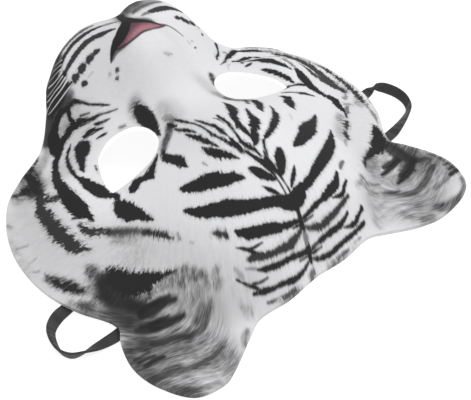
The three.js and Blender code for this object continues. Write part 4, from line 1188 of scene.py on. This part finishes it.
# %% Printed fur: colours and hairs
FUR_WHITE = (0.61, 0.61, 0.62, 1)
CHARCOAL = (0.019, 0.019, 0.02, 1)
NOSE_COLOR = (0.36, 0.16, 0.195, 1)
NOSE_SHADOW = (0.2, 0.1, 0.12, 1)
WHISKER_COLOR = (0.86, 0.86, 0.87, 1)
# Scale and detail of the noise that makes tufts, and of the one that makes single hairs
TUFTS = (1.0, 2.0)
HAIRS = (3.2, 3.0)

tree, shader = new_material("printed_fur", shell_mesh, {"Specular IOR Level": 0.12})


def fur_noise(scale, detail):
    """Noise along the streams, from -0.5 to 0.5."""
    result = noise(tree, attribute(tree, "fur_face", "Vector"), scale, detail)
    for region, vector in (("cheek", "fur_cheek"), ("ear", "fur_ear")):
        other = noise(tree, attribute(tree, vector, "Vector"), scale, detail)
        result = mix(tree, attribute(tree, region), result, other)
    return calc(tree, "SUBTRACT", result, 0.5)


tufts = fur_noise(*TUFTS)
hairs = fur_noise(*HAIRS)
print("nodes", len(tree.nodes))

# %% Printed fur: ink of the stripes and of the painted rim shade
TUFT_PUSH = 2.6
HAIR_PUSH = 2.4
# Each ramp's two ends in millimetres, and what they become where that isn't 0 and 1
CALM_BY_NOSE = (-3.5, -1.0, 1.0, 0.3)
EDGE_BLUR = (-0.5, 0.5)
INK_BETWEEN_HAIRS = (-1.3, 0.3, 0.0, 0.28)
NEAR_STRIPE = (-2.4, -0.4)
RAGGED_EDGE = (0.1, 0.6, 0.15, 1.0)

# The hairs push the edges in and out
hairs_push = calc(tree, "MULTIPLY", hairs, HAIR_PUSH)
wander = calc(tree, "ADD", calc(tree, "MULTIPLY", tufts, TUFT_PUSH), hairs_push)
wander = calc(tree, "MULTIPLY", wander, attribute(tree, "ragged_mm"))
wander = calc(tree, "MULTIPLY", wander, ramp(tree, attribute(tree, "pink_mm"), *CALM_BY_NOSE))
edge = calc(tree, "ADD", attribute(tree, "stripe_and_rim_shade_mm"), wander)
edge = calc(tree, "DIVIDE", edge, attribute(tree, "loose"))
# A little ink bleeds out between them, close to the stripe and most where its edge is ragged
bleeding = ramp(tree, calc(tree, "ADD", edge, hairs_push), *INK_BETWEEN_HAIRS)
for name, ends in (("stripe_and_rim_shade_mm", NEAR_STRIPE), ("ragged_mm", RAGGED_EDGE)):
    bleeding = calc(tree, "MULTIPLY", bleeding, ramp(tree, attribute(tree, name), *ends))
ink_and_rim_shade = calc(tree, "MAXIMUM", ramp(tree, edge, *EDGE_BLUR), bleeding)
ink_and_rim_shade = calc(tree, "MULTIPLY", ink_and_rim_shade, attribute(tree, "stripe_and_rim_shade_ink"))
print("nodes", len(tree.nodes))

# %% Printed fur: soft tones, nose, whiskers and fabric
# Ramps again: the way up the face is in metres, the nose and the whiskers are in millimetres
HAIRS_IN_TONE = (0.09, 0.25, 0.09, 0.8)
OFF_MUZZLE = (-0.066, -0.044, 0.12, 1.0)
TONE_POWER = 1.6
NOSE_EDGE = (-0.4, 0.3)
NOSE_INNER = (0.2, 1.6)
TONE_ON_NOSE = 0.8
WHISKER_EDGE = (-0.16, 0.24)
KNIT_SCALE = 1900.0

# The hairs show most where a tone is half dark, and least on the smooth muzzle
shade = attribute(tree, "shade")
tone = calc(tree, "SUBTRACT", 1.0, shade)
hair_share = ramp(tree, calc(tree, "MULTIPLY", tone, shade), *HAIRS_IN_TONE)
up_the_face = add_node(tree, "ShaderNodeSeparateXYZ", {0: object_place(tree)}).outputs["Y"]
hair_share = calc(tree, "MULTIPLY", hair_share, ramp(tree, up_the_face, *OFF_MUZZLE))
streak = calc(tree, "MULTIPLY", calc(tree, "ADD", hairs, tufts), hair_share)
tone = calc(tree, "ADD", tone, streak, use_clamp=True)
light = calc(tree, "POWER", calc(tree, "SUBTRACT", 1.0, tone), TONE_POWER)
dark_share = calc(tree, "SUBTRACT", 1.0, light)

pink_mm = attribute(tree, "pink_mm")
pink = mix_color(tree, ramp(tree, pink_mm, *NOSE_INNER), NOSE_SHADOW, NOSE_COLOR)
pink = mix_color(tree, calc(tree, "MULTIPLY", dark_share, TONE_ON_NOSE), pink, CHARCOAL)
on_whisker = ramp(tree, attribute(tree, "whisker_mm"), *WHISKER_EDGE)
whisker_share = calc(tree, "MULTIPLY", on_whisker, attribute(tree, "whisker_light"))
fur = mix_color(tree, dark_share, FUR_WHITE, CHARCOAL)
fur = mix_color(tree, ramp(tree, pink_mm, *NOSE_EDGE), fur, pink)
fur = mix_color(tree, ink_and_rim_shade, fur, CHARCOAL)
fur = mix_color(tree, whisker_share, fur, WHISKER_COLOR)
knit = noise(tree, object_place(tree), KNIT_SCALE, detail=1.0)
cover(tree, shader, fur, knit, roughness=(0.3, 0.7, 0.75, 0.9), strength=0.12, distance=0.2 * MM)

# %% [markdown]
# Three more surfaces: the cut edge shows pale foam with fine cells, the inside is lined with pale knit,
# and the strap is woven elastic. Waves that run along and across a surface give its loops and threads.
# Light soaks into real foam, which a little glow stands for.

# %% Cut foam
FOAM_CELLS = 2200.0
GLOW = {"Emission Color": (1, 1, 1, 1), "Emission Strength": 0.3}

tree, shader = new_material("foam_cut", shell_mesh, GLOW)
cells = noise(tree, object_place(tree), FOAM_CELLS, detail=2.0)
foam_color = mix_color(tree, cells, (0.8, 0.8, 0.79, 1), (0.93, 0.93, 0.92, 1))
cover(tree, shader, foam_color, cells, roughness=(0.3, 0.7, 0.85, 0.97), strength=0.35, distance=0.3 * MM)

# %% Lining
LINING_COLUMNS = 320.0
LINING_ROWS = 420.0
WEAR_PATCHES = 35.0
WEAR_COLOR = (0.52, 0.51, 0.5, 1)

tree, shader = new_material("lining", shell_mesh, {"Sheen Weight": 0.1})
place = object_place(tree)
loop_columns = waves(tree, place, LINING_COLUMNS, distortion=1.5, detail_scale=2.0)
loop_rows = waves(tree, place, LINING_ROWS, distortion=1.5, detail_scale=2.0, direction="Y")
loops = calc(tree, "MULTIPLY", loop_columns, loop_rows)
lining_color = mix_color(tree, loops, (0.5, 0.5, 0.505, 1), (0.72, 0.72, 0.725, 1))
wear = ramp(tree, noise(tree, place, WEAR_PATCHES, detail=3.0), 0.35, 0.75, 0.0, 0.25)
lining_color = mix_color(tree, wear, lining_color, WEAR_COLOR)
cover(tree, shader, lining_color, loops, roughness=(0.0, 1.0, 0.95, 0.8), strength=0.4, distance=0.2 * MM)

# %% Elastic, with its pattern in millimetres along and across the band
THREADS = 0.42
FIBRES = 2.6

tree, shader = new_material("elastic", strap_mesh, {"Sheen Weight": 0.12})
along, across = attribute(tree, "along_mm"), attribute(tree, "across_mm")
on_band = add_node(tree, "ShaderNodeCombineXYZ", {0: along, 1: across}).outputs[0]
threads = waves(tree, on_band, THREADS, distortion=0.8, detail_scale=3.0)
fibres = noise(tree, on_band, FIBRES, detail=3.0)
weave = calc(tree, "MULTIPLY", threads, calc(tree, "ADD", fibres, 0.5))
elastic_color = mix_color(tree, weave, (0.016, 0.016, 0.017, 1), (0.034, 0.034, 0.036, 1))
cover(tree, shader, elastic_color, weave, roughness=(0.0, 1.0, 0.92, 0.7), strength=0.5, distance=0.2 * MM)

# %% [markdown]
# The mask lies on a plain pale floor in soft light. A backdrop of paper with bright lamps would do, but
# an even white sky, a floor that glows a little and one wide lamp give the same look with less to set.
# The lamp hangs high over the left ear, where the photograph's soft shadows ask for it.

# %% Floor and light
FLOOR_SIZE = 3
FLOOR_LOOK = {
    "Base Color": (0.3, 0.3, 0.3, 1),
    "Roughness": 0.9,
    "Emission Color": (1, 1, 1, 1),
    "Emission Strength": 0.8,
}
SKY_STRENGTH = 0.75
LAMP_WATTS = 9
LAMP_WIDTH = 0.9
LAMP_PLACE = (-0.23, 0.23, 1.12)

floor_bm = bmesh.new()
bmesh.ops.create_grid(floor_bm, x_segments=1, y_segments=1, size=FLOOR_SIZE)
floor_mesh = bpy.data.meshes.new("floor")
floor_bm.to_mesh(floor_mesh)
floor_bm.free()
floor = bpy.data.objects.new("floor", floor_mesh)
bpy.context.scene.collection.objects.link(floor)
new_material("floor", floor_mesh, FLOOR_LOOK)

sky = bpy.data.worlds.new("studio")
sky.use_nodes = True
set_inputs(sky.node_tree.nodes["Background"], {"Color": (1, 1, 1, 1), "Strength": SKY_STRENGTH})
bpy.context.scene.world = sky
bpy.context.scene.view_settings.view_transform = "Standard"

lamp_data = bpy.data.lights.new("softbox", "AREA")
lamp_data.energy = LAMP_WATTS
lamp_data.shape = "DISK"
lamp_data.size = LAMP_WIDTH
lamp = bpy.data.objects.new("softbox", lamp_data)
lamp.location = LAMP_PLACE
lamp.rotation_mode = "QUATERNION"
lamp.rotation_quaternion = (-lamp.location).to_track_quat("-Z", "Y")
bpy.context.scene.collection.objects.link(lamp)
print("lamp", round(lamp.location.length, 2), "m away")
